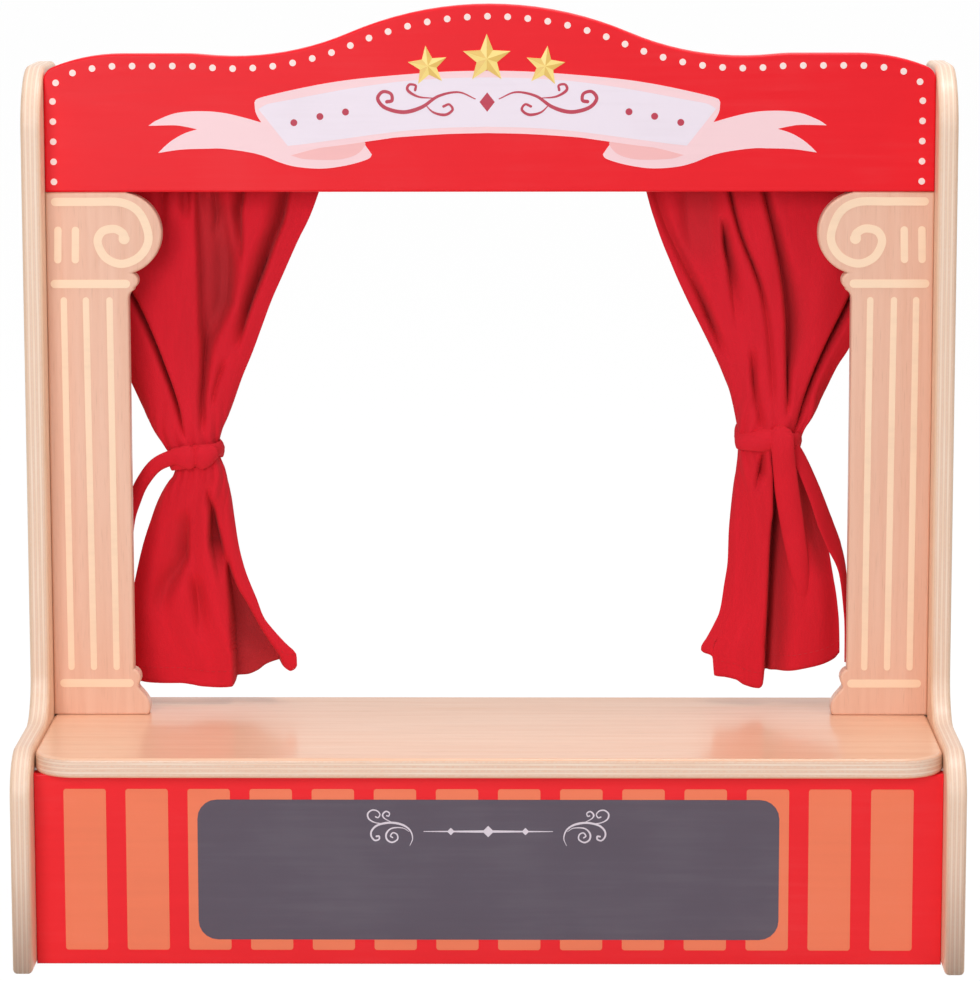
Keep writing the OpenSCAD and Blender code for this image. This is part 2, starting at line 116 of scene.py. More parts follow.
floor_half, floor_grey, floor_glow, glow_part = 14.0, 0.72, 1.09, 0.88
floor_mesh = bpy.data.meshes.new("studio_floor")
floor_mesh.from_pydata([(x * floor_half, y * floor_half, 0) for x, y in ((-1, -1), (1, -1), (1, 1), (-1, 1))],
                       [], [(0, 1, 2, 3)])
floor = bpy.data.objects.new("studio_floor", floor_mesh)
scene.collection.objects.link(floor)
floor_paint = bpy.data.materials.new("white_floor")
floor_paint.use_nodes = True
ground = floor_paint.node_tree
ground.nodes.remove(ground.nodes["Principled BSDF"])
matt = put(ground, "ShaderNodeBsdfDiffuse", ("Color", (floor_grey, floor_grey, floor_grey, 1)))
glow = put(ground, "ShaderNodeEmission", ("Color", WHITE), ("Strength", floor_glow))
glow_share = put(ground, "ShaderNodeMath", (0, seen_directly(ground)), (1, glow_part), operation="MULTIPLY")
floor_mix = put(ground, "ShaderNodeMixShader", (0, glow_share.outputs[0]), (1, matt.outputs[0]),
                (2, glow.outputs[0]))
ground.links.new(floor_mix.outputs[0], ground.nodes["Material Output"].inputs["Surface"])
floor_mesh.materials.append(floor_paint)

# Side panels. Two boards of 12 mm birch plywood stand on edge and carry everything else.
# Their outline is sawn in one curve from the foot to the wing, and the edges are rounded over.
MM = 0.001
BOARD = 12 * MM
WELD = 0.001 * MM
SHARP = math.radians(30)


def shade(r, g, b):
    """A colour as it is read off a screen, turned into the linear values that shaders take."""
    lin = [c / 255 / 12.92 if c <= 10 else ((c / 255 + 0.055) / 1.055) ** 2.4 for c in (r, g, b)]
    return (*lin, 1.0)


def part(name, mesh):
    """A finished mesh as an object at the origin."""
    obj = bpy.data.objects.new(name, mesh)
    scene.collection.objects.link(obj)
    return obj


def settled(obj):
    """The mesh that an object's modifiers give, as a plain mesh; the object is removed."""
    bpy.context.view_layer.update()
    mesh = bpy.data.meshes.new_from_object(obj.evaluated_get(bpy.context.evaluated_depsgraph_get()))
    bpy.data.objects.remove(obj)
    return mesh


def meshed(name, bm, smooth=True):
    """The mesh of a finished bmesh, smooth all over or flat all over."""
    for face in bm.faces:
        face.smooth = smooth
    mesh = bpy.data.meshes.new(name)
    bm.to_mesh(mesh)
    bm.free()
    return mesh


def eased_board(node, name, face_axis, edge_r, carve=None):
    """A copy of a CAD board with its outline rounded over; drilled holes keep sharp rims."""
    coplanar, hole_size, round_steps = math.radians(0.15), 24 * MM, 4
    bm = bmesh.new()
    bm.from_mesh(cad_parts[node].data)
    bmesh.ops.remove_doubles(bm, verts=bm.verts, dist=WELD)
    bmesh.ops.dissolve_limit(bm, angle_limit=coplanar, verts=bm.verts, edges=bm.edges)
    if carve:
        carve(bm.verts)
        bmesh.ops.remove_doubles(bm, verts=bm.verts, dist=WELD)
        bm.normal_update()
    weight = bm.edges.layers.float.new("bevel_weight_edge")
    rims = set()
    for edge in bm.edges:
        if len(edge.link_faces) != 2 or edge.calc_face_angle() < SHARP:
            continue
        edge.smooth = False
        if sum(abs(f.normal[face_axis]) > 0.99 for f in edge.link_faces) == 1:
            rims.add(edge)
    while rims:
        loop, todo = [], [rims.pop()]
        while todo:
            edge = todo.pop()
            loop.append(edge)
            for vert in edge.verts:
                for other in vert.link_edges:
                    if other in rims:
                        rims.remove(other)
                        todo.append(other)
        spread = np.array([v.co for e in loop for v in e.verts])
        if (spread.max(0) - spread.min(0)).max() > hole_size:
            for edge in loop:
                edge[weight] = 1.0
                edge.smooth = True
    board = part(name + "_sharp", meshed(name, bm))
    round_over = board.modifiers.new("round_over", "BEVEL")
    round_over.limit_method, round_over.width, round_over.segments = "WEIGHT", edge_r, round_steps
    round_over.use_clamp_overlap, round_over.loop_slide = False, False
    even = board.modifiers.new("flat_faces", "WEIGHTED_NORMAL")
    even.keep_sharp = True
    return part(name, settled(board))


def group_tree(name, kind, given, made):
    """A node group with its named inputs (label, kind, value) and outputs (label, kind)."""
    tree = bpy.data.node_groups.new(name, kind)
    for label, socket, value in given:
        new = tree.interface.new_socket(label, in_out="INPUT", socket_type="NodeSocket" + socket)
        if value is not None:
            new.default_value = value
    for label, socket in made:
        tree.interface.new_socket(label, in_out="OUTPUT", socket_type="NodeSocket" + socket)
    return tree, tree.nodes.new("NodeGroupInput"), tree.nodes.new("NodeGroupOutput")


def effect_group(name, given):
    """A shader effect that puts out a colour, a roughness and a height over the surface."""
    return group_tree(name, "ShaderNodeTree", given,
                      [("Color", "Color"), ("Roughness", "Float"), ("Height", "Float")])


def puts_out(tree, result, **made):
    """Links what a group makes to its named outputs."""
    for label, socket in made.items():
        tree.links.new(socket, result.inputs[label])


def sums(tree, operation, *terms):
    """One step of arithmetic on sockets or numbers."""
    return put(tree, "ShaderNodeMath", *enumerate(terms), operation=operation).outputs[0]


def weighted(tree, *terms):
    """A sum of values, each times its share."""
    total = 0.0
    for value, share in terms:
        total = sums(tree, "MULTIPLY_ADD", value, share, total)
    return total


def lies_between(tree, value, low, high):
    """1 where a value is above low and below high, and 0 elsewhere."""
    return sums(tree, "MULTIPLY", sums(tree, "GREATER_THAN", value, low),
                sums(tree, "LESS_THAN", value, high))


def mixed(tree, share, first, second, blend="MIX"):
    """Two colours mixed by a share."""
    return put(tree, "ShaderNodeMix", (0, share), (6, first), (7, second),
               data_type="RGBA", blend_type=blend).outputs[2]


def ranged(tree, value, low, high, to_low=0.0, to_high=1.0):
    """A value carried from one range to another and held at its ends."""
    return put(tree, "ShaderNodeMapRange", (0, value), (1, low), (2, high), (3, to_low),
               (4, to_high)).outputs[0]


def noise(tree, place, stretch, detail=3.0):
    """Noise whose grain is stretched by a different frequency along each axis, per metre."""
    scaled = put(tree, "ShaderNodeVectorMath", (0, place), (1, stretch), operation="MULTIPLY")
    return put(tree, "ShaderNodeTexNoise", ("Vector", scaled.outputs[0]), ("Scale", 1.0),
               ("Detail", detail)).outputs[0]


ply, ply_in, ply_out = effect_group("birch_ply_layers", [
    ("Along", "Float", 0.0), ("Across", "Float", 0.0), ("Through", "Float", 0.0),
    ("Thickness", "Float", BOARD), ("Plies", "Float", 9.0), ("Face", "Color", WHITE),
    ("Figure", "Color", WHITE), ("Layer", "Color", WHITE), ("Cross layer", "Color", WHITE)])
pore_brown, glue_brown = (0.30, 0.15, 0.08, 1), (0.22, 0.11, 0.06, 1)
given = ply_in.outputs
spot = put(ply, "ShaderNodeCombineXYZ", (0, given["Along"]), (1, given["Across"]),
           (2, given["Through"])).outputs[0]
grain = noise(ply, spot, (9, 210, 210), 4.0)
figure = noise(ply, spot, (2.2, 22, 22), 2.0)
pores = ranged(ply, noise(ply, spot, (60, 1300, 1300), 1.0), 0.60, 0.78)
figured = ranged(ply, weighted(ply, (grain, 0.55), (figure, 0.45)), 0.34, 0.68)
veneer = mixed(ply, figured, given["Face"], given["Figure"])
veneer = mixed(ply, sums(ply, "MULTIPLY", pores, 0.16), veneer, pore_brown)
layer_at = sums(ply, "MULTIPLY", sums(ply, "DIVIDE", given["Through"], given["Thickness"]), given["Plies"])
last = sums(ply, "SUBTRACT", given["Plies"], 1.0)
layer_no = sums(ply, "MAXIMUM", sums(ply, "MINIMUM", sums(ply, "FLOOR", layer_at), last), 0.0)
odd = sums(ply, "MODULO", layer_no, 2.0)
inside = lies_between(ply, layer_no, 0.5, sums(ply, "SUBTRACT", last, 0.5))
fleck = ranged(ply, noise(ply, spot, (520, 520, 700), 2.0), 0.35, 0.7, 0.0, 0.55)
streak = ranged(ply, noise(ply, spot, (22, 22, 900)), 0.35, 0.7, 0.0, 0.5)
long_layer = mixed(ply, streak, given["Layer"], given["Figure"])
end_layer = mixed(ply, fleck, given["Cross layer"], given["Figure"])
core = mixed(ply, odd, long_layer, end_layer)
joint_no = sums(ply, "ROUND", layer_at)
from_joint = sums(ply, "ABSOLUTE", sums(ply, "SUBTRACT", layer_at, joint_no))
is_joint = lies_between(ply, joint_no, 0.5, sums(ply, "ADD", last, 0.5))
glue = sums(ply, "MULTIPLY", ranged(ply, from_joint, 0.02, 0.14, 0.18, 0.0), is_joint)
puts_out(ply, ply_out, Color=mixed(ply, glue, mixed(ply, inside, veneer, core), glue_brown),
         Roughness=ranged(ply, grain, 0.2, 0.8, 0.36, 0.52),
         Height=weighted(ply, (grain, 0.5), (pores, -1.0)))


def new_finish(name, **fixed):
    """A material with a Principled shader; what is the same all over is set on its sockets."""
    finish = bpy.data.materials.new(name)
    finish.use_nodes = True
    shader = finish.node_tree.nodes["Principled BSDF"]
    for label, value in fixed.items():
        shader.inputs[label.replace("_", " ")].default_value = value
    return finish, finish.node_tree, shader


def roughened(tree, shader, height, depth, strength=1.0):
    """Gives a shader a relief from a height, this deep in metres."""
    bump = put(tree, "ShaderNodeBump", ("Height", height), ("Strength", strength), ("Distance", depth))
    tree.links.new(bump.outputs[0], shader.inputs["Normal"])


def covered(tree, shader, effect, wires, depth, strength=1.0):
    """Lays an effect over a shader, with its inputs and the depth of its relief."""
    layer = put(tree, "ShaderNodeGroup", *wires, node_tree=effect)
    tree.links.new(layer.outputs["Color"], shader.inputs["Base Color"])
    tree.links.new(layer.outputs["Roughness"], shader.inputs["Roughness"])
    roughened(tree, shader, layer.outputs["Height"], depth, strength)


def own_place(tree):
    """Where a point lies in the theatre, in metres."""
    return put(tree, "ShaderNodeTexCoord").outputs["Object"]


def birch_finish(name, along, across, through, start, face, figure_tone,
                 mirrored=False, coat=0.12, coat_blur=0.35):
    """Lacquered birch plywood, with the axis of its grain and the axis through its layers."""
    finish, tree, shader = new_finish(name, Coat_Weight=coat, Coat_Roughness=coat_blur,
                                      Specular_IOR_Level=0.35)
    axes = put(tree, "ShaderNodeSeparateXYZ", (0, own_place(tree))).outputs
    depth = sums(tree, "ABSOLUTE", axes[through]) if mirrored else axes[through]
    covered(tree, shader, ply, [
        ("Along", axes[along]), ("Across", axes[across]), ("Through", sums(tree, "SUBTRACT", depth, start)),
        ("Face", face), ("Figure", figure_tone), ("Layer", shade(248, 224, 204)),
        ("Cross layer", shade(238, 206, 184))], 0.06 * MM)
    return finish


def belongs(obj, finish, slot, *nodes, body="frame"):
    """Gives a piece its finish, the body it rides on and the CAD nodes that it stands for."""
    obj.data.materials.clear()
    obj.data.materials.append(finish)
    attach(obj, body)
    if nodes:
        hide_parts(*nodes)
    return obj


X, Y, Z = range(3)
side_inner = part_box("side_panel_right")[0].x
side_birch = birch_finish("side_birch", Z, Y, X, side_inner, shade(246, 214, 186), shade(236, 196, 164),
                          mirrored=True)
for hand in ("left", "right"):
    belongs(eased_board("side_panel_" + hand, "side_board_" + hand, X, 2.8 * MM), side_birch,
            "birch_ply", "side_panel_" + hand)

# Stage shelf. One plywood board lies across the sides with its front corners cut round,
# and its layers show along the front edge. It is bolted through the sides.
shelf_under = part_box("stage_shelf")[0].z
shelf_birch = birch_finish("shelf_birch", X, Y, Z, shelf_under, shade(244, 197, 166), shade(236, 183, 149),
                           coat=0.45, coat_blur=0.16)
belongs(eased_board("stage_shelf", "stage_board", Z, 2.4 * MM), shelf_birch, "birch_ply", "stage_shelf")

# Front panel. A red lacquered board stands under the shelf, set back from its edge. Orange
# bars and a field of slate-grey chalk paint are printed on it, with a pair of chalk scrolls.
panel_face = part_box("front_panel")[0].y

film, film_in, film_out = effect_group("paint_film", [
    ("Place", "Vector", None), ("Tone", "Color", WHITE), ("Mottle", "Float", 0.05), ("Gloss", "Float", 0.35)])
given = film_in.outputs
cloud = noise(film, given["Place"], (16, 16, 22))
rolled = noise(film, given["Place"], (14, 260, 260))
peel = noise(film, given["Place"], (900, 900, 900), 1.0)
darker = mixed(film, 1.0, given["Tone"], (0.72, 0.66, 0.66, 1), "MULTIPLY")
lighter = mixed(film, 0.10, given["Tone"], WHITE)
uneven = sums(film, "MULTIPLY", given["Mottle"],
              ranged(film, weighted(film, (cloud, 0.6), (rolled, 0.4)), 0.30, 0.70, -1.0, 1.0))
toned = mixed(film, sums(film, "MAXIMUM", uneven, 0.0), given["Tone"], lighter)
toned = mixed(film, sums(film, "MAXIMUM", sums(film, "MULTIPLY", uneven, -1.0), 0.0), toned, darker)
puts_out(film, film_out, Color=toned,
         Roughness=sums(film, "ADD", given["Gloss"], ranged(film, rolled, 0.3, 0.7, -0.05, 0.05)),
         Height=weighted(film, (peel, 0.5), (rolled, 1.0)))


def paint_finish(name, tone, gloss=0.4, mottle=0.35, relief=0.05, **fixed):
    """Rolled or printed paint: its tone, the blur of its gloss, how uneven it is and its relief."""
    finish, tree, shader = new_finish(name, **fixed)
    covered(tree, shader, film, [("Place", own_place(tree)), ("Tone", tone), ("Mottle", mottle),
                                 ("Gloss", gloss)], relief * MM)
    return finish


# Painted light: the panel's red is a paler copy of the header's red lacquer, to make up for the lesser light
# that reaches it low down.
panel_lacquer_lit = paint_finish("panel_lacquer_lit", shade(243, 38, 46), 0.36, 0.1, Specular_IOR_Level=0.2)
belongs(eased_board("front_panel", "front_board", Y, 1.5 * MM), panel_lacquer_lit, "red_lacquer", "front_panel")


def gn_tree(name, given):
    """A Geometry Nodes tree that takes a seed mesh, the named sizes and a finish."""
    return group_tree(name, "GeometryNodeTree", [
        ("Seed", "Geometry", None), *[(label, kind, None) for label, kind in given],
        ("Finish", "Material", None)], [("Made", "Geometry")])


def grown(name, tree, seed, finish, slot, *nodes, body="frame", **sizes):
    """Runs a tree on a seed mesh with its sizes and keeps the result as a plain piece."""
    holder = part(name + "_seed", seed)
    maker = holder.modifiers.new("maker", "NODES")
    maker.node_group = tree
    sockets = {s.name: s.identifier for s in tree.interface.items_tree if s.in_out == "INPUT"}
    for label, value in {**sizes, "Finish": finish}.items():
        maker[sockets[label]] = value
    return belongs(part(name, settled(holder)), finish, slot, *nodes, body=body)


def points_mesh(name, points, turns=None):
    """Loose points, each with its own turn where one is given, as a seed for a tree."""
    mesh = bpy.data.meshes.new(name)
    mesh.from_pydata([tuple(p) for p in points], [], [])
    if turns is not None:
        mesh.attributes.new("turn", "FLOAT_VECTOR", "POINT").data.foreach_set("vector", np.ravel(turns))
    return mesh


def finish_tree(tree, given, result, shape):
    """Ends a tree: the placed shapes become one mesh with its finish."""
    solid = put(tree, "GeometryNodeRealizeInstances", ("Geometry", shape))
    clad = put(tree, "GeometryNodeSetMaterial", ("Geometry", solid.outputs[0]),
               ("Material", given.outputs["Finish"]))
    tree.links.new(clad.outputs[0], result.inputs["Made"])


FACING = (math.pi / 2, 0, 0)
bars, bars_in, bars_out = gn_tree("printed_bars", [
    ("Width", "Float"), ("Height", "Float"), ("Corner", "Float"), ("Film", "Float")])
quad = put(bars, "GeometryNodeCurvePrimitiveQuadrilateral", ("Width", bars_in.outputs["Width"]),
           ("Height", bars_in.outputs["Height"]))
soft_quad = put(bars, "GeometryNodeFilletCurve", ("Curve", quad.outputs[0]), ("Count", 5),
                ("Radius", bars_in.outputs["Corner"]), mode="POLY")
sheet_quad = put(bars, "GeometryNodeFillCurve", ("Curve", soft_quad.outputs[0]), mode="NGONS")
raised = put(bars, "GeometryNodeExtrudeMesh", ("Mesh", sheet_quad.outputs[0]),
             ("Offset Scale", bars_in.outputs["Film"]), mode="FACES")
under = put(bars, "GeometryNodeFlipFaces", ("Mesh", sheet_quad.outputs[0]))
closed = put(bars, "GeometryNodeJoinGeometry", (0, raised.outputs[0]))
bars.links.new(under.outputs[0], closed.inputs[0])
welded = put(bars, "GeometryNodeMergeByDistance", ("Geometry", closed.outputs[0]), ("Distance", WELD))
bar_set = put(bars, "GeometryNodeInstanceOnPoints", ("Points", bars_in.outputs["Seed"]),
              ("Instance", welded.outputs[0]), ("Rotation", FACING))
finish_tree(bars, bars_in, bars_out, bar_set.outputs[0])

SUNK = 0.04 * MM
bar_n, bar_pitch, bar_z = 14, 36.6 * MM, 58.2 * MM
bar_places = [((i - (bar_n - 1) / 2) * bar_pitch, panel_face + SUNK, bar_z) for i in range(bar_n)]
orange_print = paint_finish("orange_print", shade(244, 124, 84), 0.42, 0.14)
grown("front_bars", bars, points_mesh("bar_places", bar_places), orange_print, "red_lacquer",
      Width=25 * MM, Height=97.5 * MM, Corner=1.6 * MM, Film=0.16 * MM + SUNK)
chalk_paint = paint_finish("chalk_paint", shade(99, 90, 102), 0.82, 0.22, 0.12, Specular_IOR_Level=0.2)
grown("chalk_field", bars, points_mesh("chalk_place", [(0, panel_face + SUNK, bar_z)]), chalk_paint,
      "red_lacquer", Width=343 * MM, Height=84.8 * MM, Corner=11.5 * MM, Film=0.30 * MM + SUNK)


def flowing(points, steps=8):
    """A smooth line through points (Catmull-Rom), with that many steps to each span."""
    p = np.array(points, float)
    p = np.vstack([2 * p[0] - p[1], p, 2 * p[-1] - p[-2]])
    t = np.linspace(0, 1, steps, endpoint=False)[:, None]
    line = [0.5 * (2 * b + (c - a) * t + (2 * a - 5 * b + 4 * c - d) * t ** 2
                   + (3 * b - a - 3 * c + d) * t ** 3)
            for a, b, c, d in zip(p, p[1:], p[2:], p[3:])]
    return np.vstack([*line, p[-2:-1]])


def stroke(points, width, taper=((0, 1), (1, 1))):
    """The outline of a painted stroke along a line, with round ends, in millimetres. The taper
    gives the share of the width at shares of the length."""
    p = np.array(points, float)
    half = width / 2 * np.interp(np.linspace(0, 1, len(p)), *zip(*taper))
    along = np.gradient(p, axis=0)
    along /= np.linalg.norm(along, axis=1)[:, None]
    side = np.stack([-along[:, 1], along[:, 0]], 1)
    turns = np.linspace(0, math.pi, 9)[1:-1, None]
    far = p[-1] + half[-1] * (side[-1] * np.cos(turns) + along[-1] * np.sin(turns))
    near = p[0] + half[0] * (-side[0] * np.cos(turns) - along[0] * np.sin(turns))
    return np.vstack([p + side * half[:, None], far, (p - side * half[:, None])[::-1], near])


def lozenge(x, z, half_x, half_z):
    """The outline of a lozenge round its middle."""
    return np.array([(x + half_x, z), (x, z + half_z), (x - half_x, z), (x, z - half_z)])


def skinned(bm, rings):
    """Joins each ring of points to the next by four-sided faces."""
    for near, far in zip(rings, rings[1:]):
        for k in range(len(near)):
            n = (k + 1) % len(near)
            bm.faces.new((near[k], near[n], far[n], far[k]))


def printed(name, outlines, face_y, film_mm, finish, slot="red_lacquer"):
    """Printed shapes on an upright board: each outline, in millimetres, is a film this thick.
    Where strokes cross, each lies a few microns over the one before."""
    overlap_mm, overlaps = 0.008, 6
    bm = bmesh.new()
    for k, outline in enumerate(outlines):
        face = face_y - (film_mm + overlap_mm * (k % overlaps)) * MM
        area = sum(a[0] * b[1] - b[0] * a[1] for a, b in zip(outline, np.roll(outline, -1, 0)))
        ring = outline if area > 0 else outline[::-1]
        front = [bm.verts.new((x * MM, face, z * MM)) for x, z in ring]
        back = [bm.verts.new((x * MM, face_y + SUNK, z * MM)) for x, z in ring]
        bm.faces.new(front)
        bm.faces.new(back[::-1])
        skinned(bm, [back, front])
    bm.normal_update()
    bmesh.ops.triangulate(bm, faces=[f for f in bm.faces if len(f.verts) > 4])
    return belongs(part(name, meshed(name, bm, smooth=False)), finish, slot)


chalk_white = paint_finish("chalk_white", shade(226, 216, 226), 0.85, 0.4)
scroll_lines = (
    ([(-46.2, 73), (-44.6, 77.3), (-46.1, 82.2), (-50.8, 85.6), (-58, 86.8), (-65.1, 85.3), (-68.6, 82.1),
      (-69, 78.7), (-66.9, 76.1), (-64.4, 76.8), (-64.4, 78.6), (-65.9, 78.5)], 1.15),
    ([(-57, 86.7), (-65.1, 86.5), (-70, 88.7), (-71, 92.1), (-68.6, 94.3), (-65.6, 94), (-63.8, 91.9),
      (-64.8, 89.9), (-66.4, 90.3)], 0.85),
    ([(-55.8, 86.6), (-60.9, 89.2), (-62.2, 91.6), (-60.3, 93.6), (-58.2, 92.6), (-58.6, 90.8),
      (-59.8, 91)], 0.85),
    ([(-46.6, 81.4), (-50.5, 83.6), (-56.8, 83.4), (-60, 80.3), (-59.8, 76.7), (-56.8, 74.9), (-53.5, 76.7),
      (-53.8, 79.7), (-56.2, 80.7), (-57.6, 78.8), (-56.4, 77.8)], 0.95))
scroll_taper = [(0, 0.25), (0.3, 1.15), (0.75, 0.8), (1, 0.9)]
rule_z, rule_half, rule_steps = 81.5, 38, 33
scrolls = [stroke(flowing(np.array(line) * (hand, 1), 6), width, scroll_taper)
           for line, width in scroll_lines for hand in (1, -1)]
rule_line = [(x, rule_z) for x in np.linspace(-rule_half, rule_half, rule_steps)]
scrolls.append(stroke(rule_line, 1.5, [(0, 0.25), (0.5, 1.0), (1, 0.25)]))
scrolls += [lozenge(mid, rule_z, reach, reach) for mid, reach in ((-22, 2.2), (0, 3.4), (22, 2.2))]
printed("chalk_scrolls", scrolls, panel_face, 0.42, chalk_white)

# Columns. Two shaped plywood boards stand on the shelf under the header, dowelled at both ends.
# Their scroll heads, flutes and bases are drawn with cream painted lines.
column_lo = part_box("column_left")[0]
column_birch = birch_finish("column_birch", Z, X, Y, column_lo.y, shade(240, 194, 170), shade(232, 180, 154))
cream_line = paint_finish("cream_line", shade(253, 221, 190), 0.5, 0.2)
spiral = flowing([(-262, 443.7), (-240, 443.7), (-221.5, 443.2), (-210.8, 436.6), (-205.8, 421.9),
                  (-211.1, 411), (-222.1, 406.2), (-231.9, 410), (-236.6, 419), (-233.9, 425.6),
                  (-226.8, 427.4), (-221.8, 425), (-220.6, 421.4)], 10)
bars_drawn = (((-260.5, 426.6), (-260.9, 408.7), 4.5), ((-249.9, 426.5), (-250.3, 408.7), 4.5),
              ((-263, 394), (-219.9, 394), 5.1), ((-257.7, 384), (-256.8, 158), 3.9),
              ((-244.3, 384), (-243, 158), 3.9), ((-230, 384), (-229.1, 158), 3.9),
              ((-261.5, 147.9), (-221.2, 147.9), 5.0))
column_lines = [stroke(spiral, 5.0, [(0, 1), (0.9, 1), (0.97, 1.2), (1, 1.35)]),
                *[stroke([start, end], width) for start, end, width in bars_drawn]]
foot_line = ((0, 210.4), (1.2, 209.4), (3, 208.9), (5, 208.8), (7.4, 209.1), (9.6, 209.9), (11.6, 211.1),
             (13.4, 212.6), (15.2, 214.2), (16.8, 215.5), (18, 215.9), (19.2, 215.5), (20.6, 214.8),
             (22.2, 214.3), (24, 214.4), (25.6, 214.9), (26.9, 215.7), (27.9, 216.7), (28.5, 217.6),
             (28.8, 218.5))


def flared_foot(verts):
    """Lays the foot moulding of a column along foot_line, down to the shelf without an undercut."""
    foot_inner, foot_top = 219 * MM, 25.5 * MM
    foot = [v.co for v in verts if abs(v.co.x) < foot_inner and v.co.z - column_lo.z < foot_top]
    levels = sorted({round(point.z, 5) for point in foot})
    for point in foot:
        rise, across = foot_line[levels.index(round(point.z, 5)) * len(foot_line) // len(levels)]
        point.x, point.z = math.copysign(across * MM, point.x), column_lo.z + rise * MM


for hand, mirror in (("left", 1), ("right", -1)):
    belongs(eased_board("column_" + hand, "column_board_" + hand, Y, 1.6 * MM, carve=flared_foot),
            column_birch, "column_birch", "column_" + hand)
    printed("column_lines_" + hand, [line * (mirror, 1) for line in column_lines], column_lo.y, 0.18,
            cream_line, "column_birch")

# Header. A red lacquered board with a bowed top closes the frame. A border of pale dots
# follows its edge, and a printed ribbon with three gold stars fills the middle.
header_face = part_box("header_board")[0].y
# Painted shade: the header's red is a darker copy of the panel's red lacquer, to make up for the light from
# above that falls on it.
header_lacquer_shaded = paint_finish("header_lacquer_shaded", shade(239, 25, 38), 0.36, 0.1, Specular_IOR_Level=0.2)
belongs(eased_board("header_board", "header_painted", Y, 1.5 * MM), header_lacquer_shaded, "red_lacquer",
        "header_board")


def lines_mesh(name, lines):
    """Open lines through points, as a seed for a tree."""
    mesh = bpy.data.meshes.new(name)
    starts = set(np.cumsum([len(line) for line in lines]).tolist())
    points = np.concatenate(lines)
    mesh.from_pydata(points.tolist(), [(k - 1, k) for k in range(1, len(points)) if k not in starts], [])
    return mesh


dots, dots_in, dots_out = gn_tree("printed_dots", [
    ("Pitch", "Float"), ("Diameter", "Float"), ("Film", "Float")])
dot_line = put(dots, "GeometryNodeMeshToCurve", ("Mesh", dots_in.outputs["Seed"]))
spaced = put(dots, "GeometryNodeResampleCurve", ("Curve", dot_line.outputs[0]),
             ("Length", dots_in.outputs["Pitch"]), mode="LENGTH")
dot_r = sums(dots, "MULTIPLY", dots_in.outputs["Diameter"], 0.5)
dot = put(dots, "GeometryNodeMeshCylinder", ("Vertices", 18), ("Radius", dot_r),
          ("Depth", dots_in.outputs["Film"]))
dot_set = put(dots, "GeometryNodeInstanceOnPoints", ("Points", spaced.outputs[0]),
              ("Instance", dot.outputs["Mesh"]), ("Rotation", FACING))
finish_tree(dots, dots_in, dots_out, dot_set.outputs[0])

crest = {}
for x, y, z in (v.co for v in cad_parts["header_board"].data.vertices):
    if abs(y - header_face) < 0.01 * MM:
        crest[round(x, 5)] = max(z, crest.get(round(x, 5), 0))
crest_x = sorted(crest)
rim_half, top_half, side_half, print_mid = 258.5 * MM, 256 * MM, 261.2, -1.2
run_x = np.linspace(-rim_half, rim_half, 500)
run_z = np.interp(run_x, crest_x, [crest[x] for x in crest_x])
lean = np.gradient(run_z, run_x)
dot_inset, dot_rise, dot_lift = 7.7 * MM, 0.5 * MM, 0.06 * MM
top_run = np.stack([run_x + dot_inset * lean / np.hypot(1, lean), run_z - dot_inset / np.hypot(1, lean)], 1)
top_run = top_run[np.abs(top_run[:, 0] - print_mid * MM) < top_half]
left_end, right_end = [np.array([(print_mid + hand * side_half, z) for z in (455.3, 513.0)]) * MM
                       for hand in (-1, 1)]
dot_path = [(x, header_face - dot_lift, z + dot_rise) for x, z in (*left_end, *top_run, *right_end[::-1])]
pale_dot = paint_finish("pale_dot", shade(252, 228, 222), 0.42, 0.2)
grown("header_dots", dots, lines_mesh("dot_path", [dot_path]), pale_dot, "red_lacquer",
      Pitch=11.95 * MM, Diameter=4.0 * MM, Film=0.2 * MM)

tail_top = [(-205, 489.5), (-200, 492.7), (-189.9, 496.7), (-179.9, 498.1), (-168, 498.1), (-158, 496.9),
            (-148.1, 494.6), (-137.6, 491.6)]
tail_foot = [(-199.2, 473.2), (-185.2, 475.2), (-170.2, 475.7), (-160.3, 475.7), (-145.3, 473.7),
             (-135.3, 471.2), (-125.4, 467.2), (-115.4, 464.7), (-100.5, 463.7), (-85.5, 465.7),
             (-73.5, 469.2), (-70.9, 471.7), (-71.4, 473.2), (-75.9, 479.6)]
tail_fork = [(-205, 489.5), (-190, 489.8), (-183.1, 489), (-175.6, 487.4)]
tail_fork_low = [(-175.6, 487.4), (-183.1, 485), (-190.1, 481.2), (-195.2, 477.2), (-199.2, 473.2)]
ribbon_tail = np.vstack([flowing(tail_foot), flowing([(-75.9, 479.6), (-100, 484), (-137.6, 491.6)], 2)[1:-1],
                         flowing(tail_top)[::-1], flowing(tail_fork)[1:-1], flowing(tail_fork_low)[:-1]])
fold_inside = flowing([(-119.4, 471.7), (-102.4, 476), (-76.2, 480.4), (-78.4, 473.2), (-90.4, 469.2),
                       (-110.4, 469.4), (-119.4, 471.7)], 6)[:-1]
band_top = [(-141, 503.6), (-138, 506.1), (-120, 510.5), (-100.1, 514.5), (-80.1, 517.4), (-53.4, 519.9),
            (-26, 521.8), (print_mid, 522.4)]
band_foot = [(-121.8, 475.2), (-110.3, 475.4), (-90.3, 477.6), (-65.4, 481.1), (-53.6, 482.6), (-26, 484.4),
             (print_mid, 485)]
band_end = [(-121.8, 475.2), (-125.3, 479.2), (-132.2, 485.2), (-137.1, 491.6), (-140.3, 497.5),
            (-141, 503.6)]
field_top = [(-138.6, 499.5), (-134, 502.2), (-129, 503.4), (-120.1, 505), (-100.1, 508.8), (-80.2, 512.3),
             (-53.5, 515.9), (-26, 517.8), (print_mid, 518.4)]
field_foot = [(-121.2, 477.4), (-110.3, 478.6), (-90.3, 481.3), (-53.6, 486.1), (-26, 488.2),
              (print_mid, 488.8)]


def other_half(outline):
    """The same points on the other side of the print's middle line."""
    return outline * (-1, 1) + (2 * print_mid, 0)


def pair(outline):
    """An outline on the left and on the right of the print."""
    return [outline, other_half(outline)]


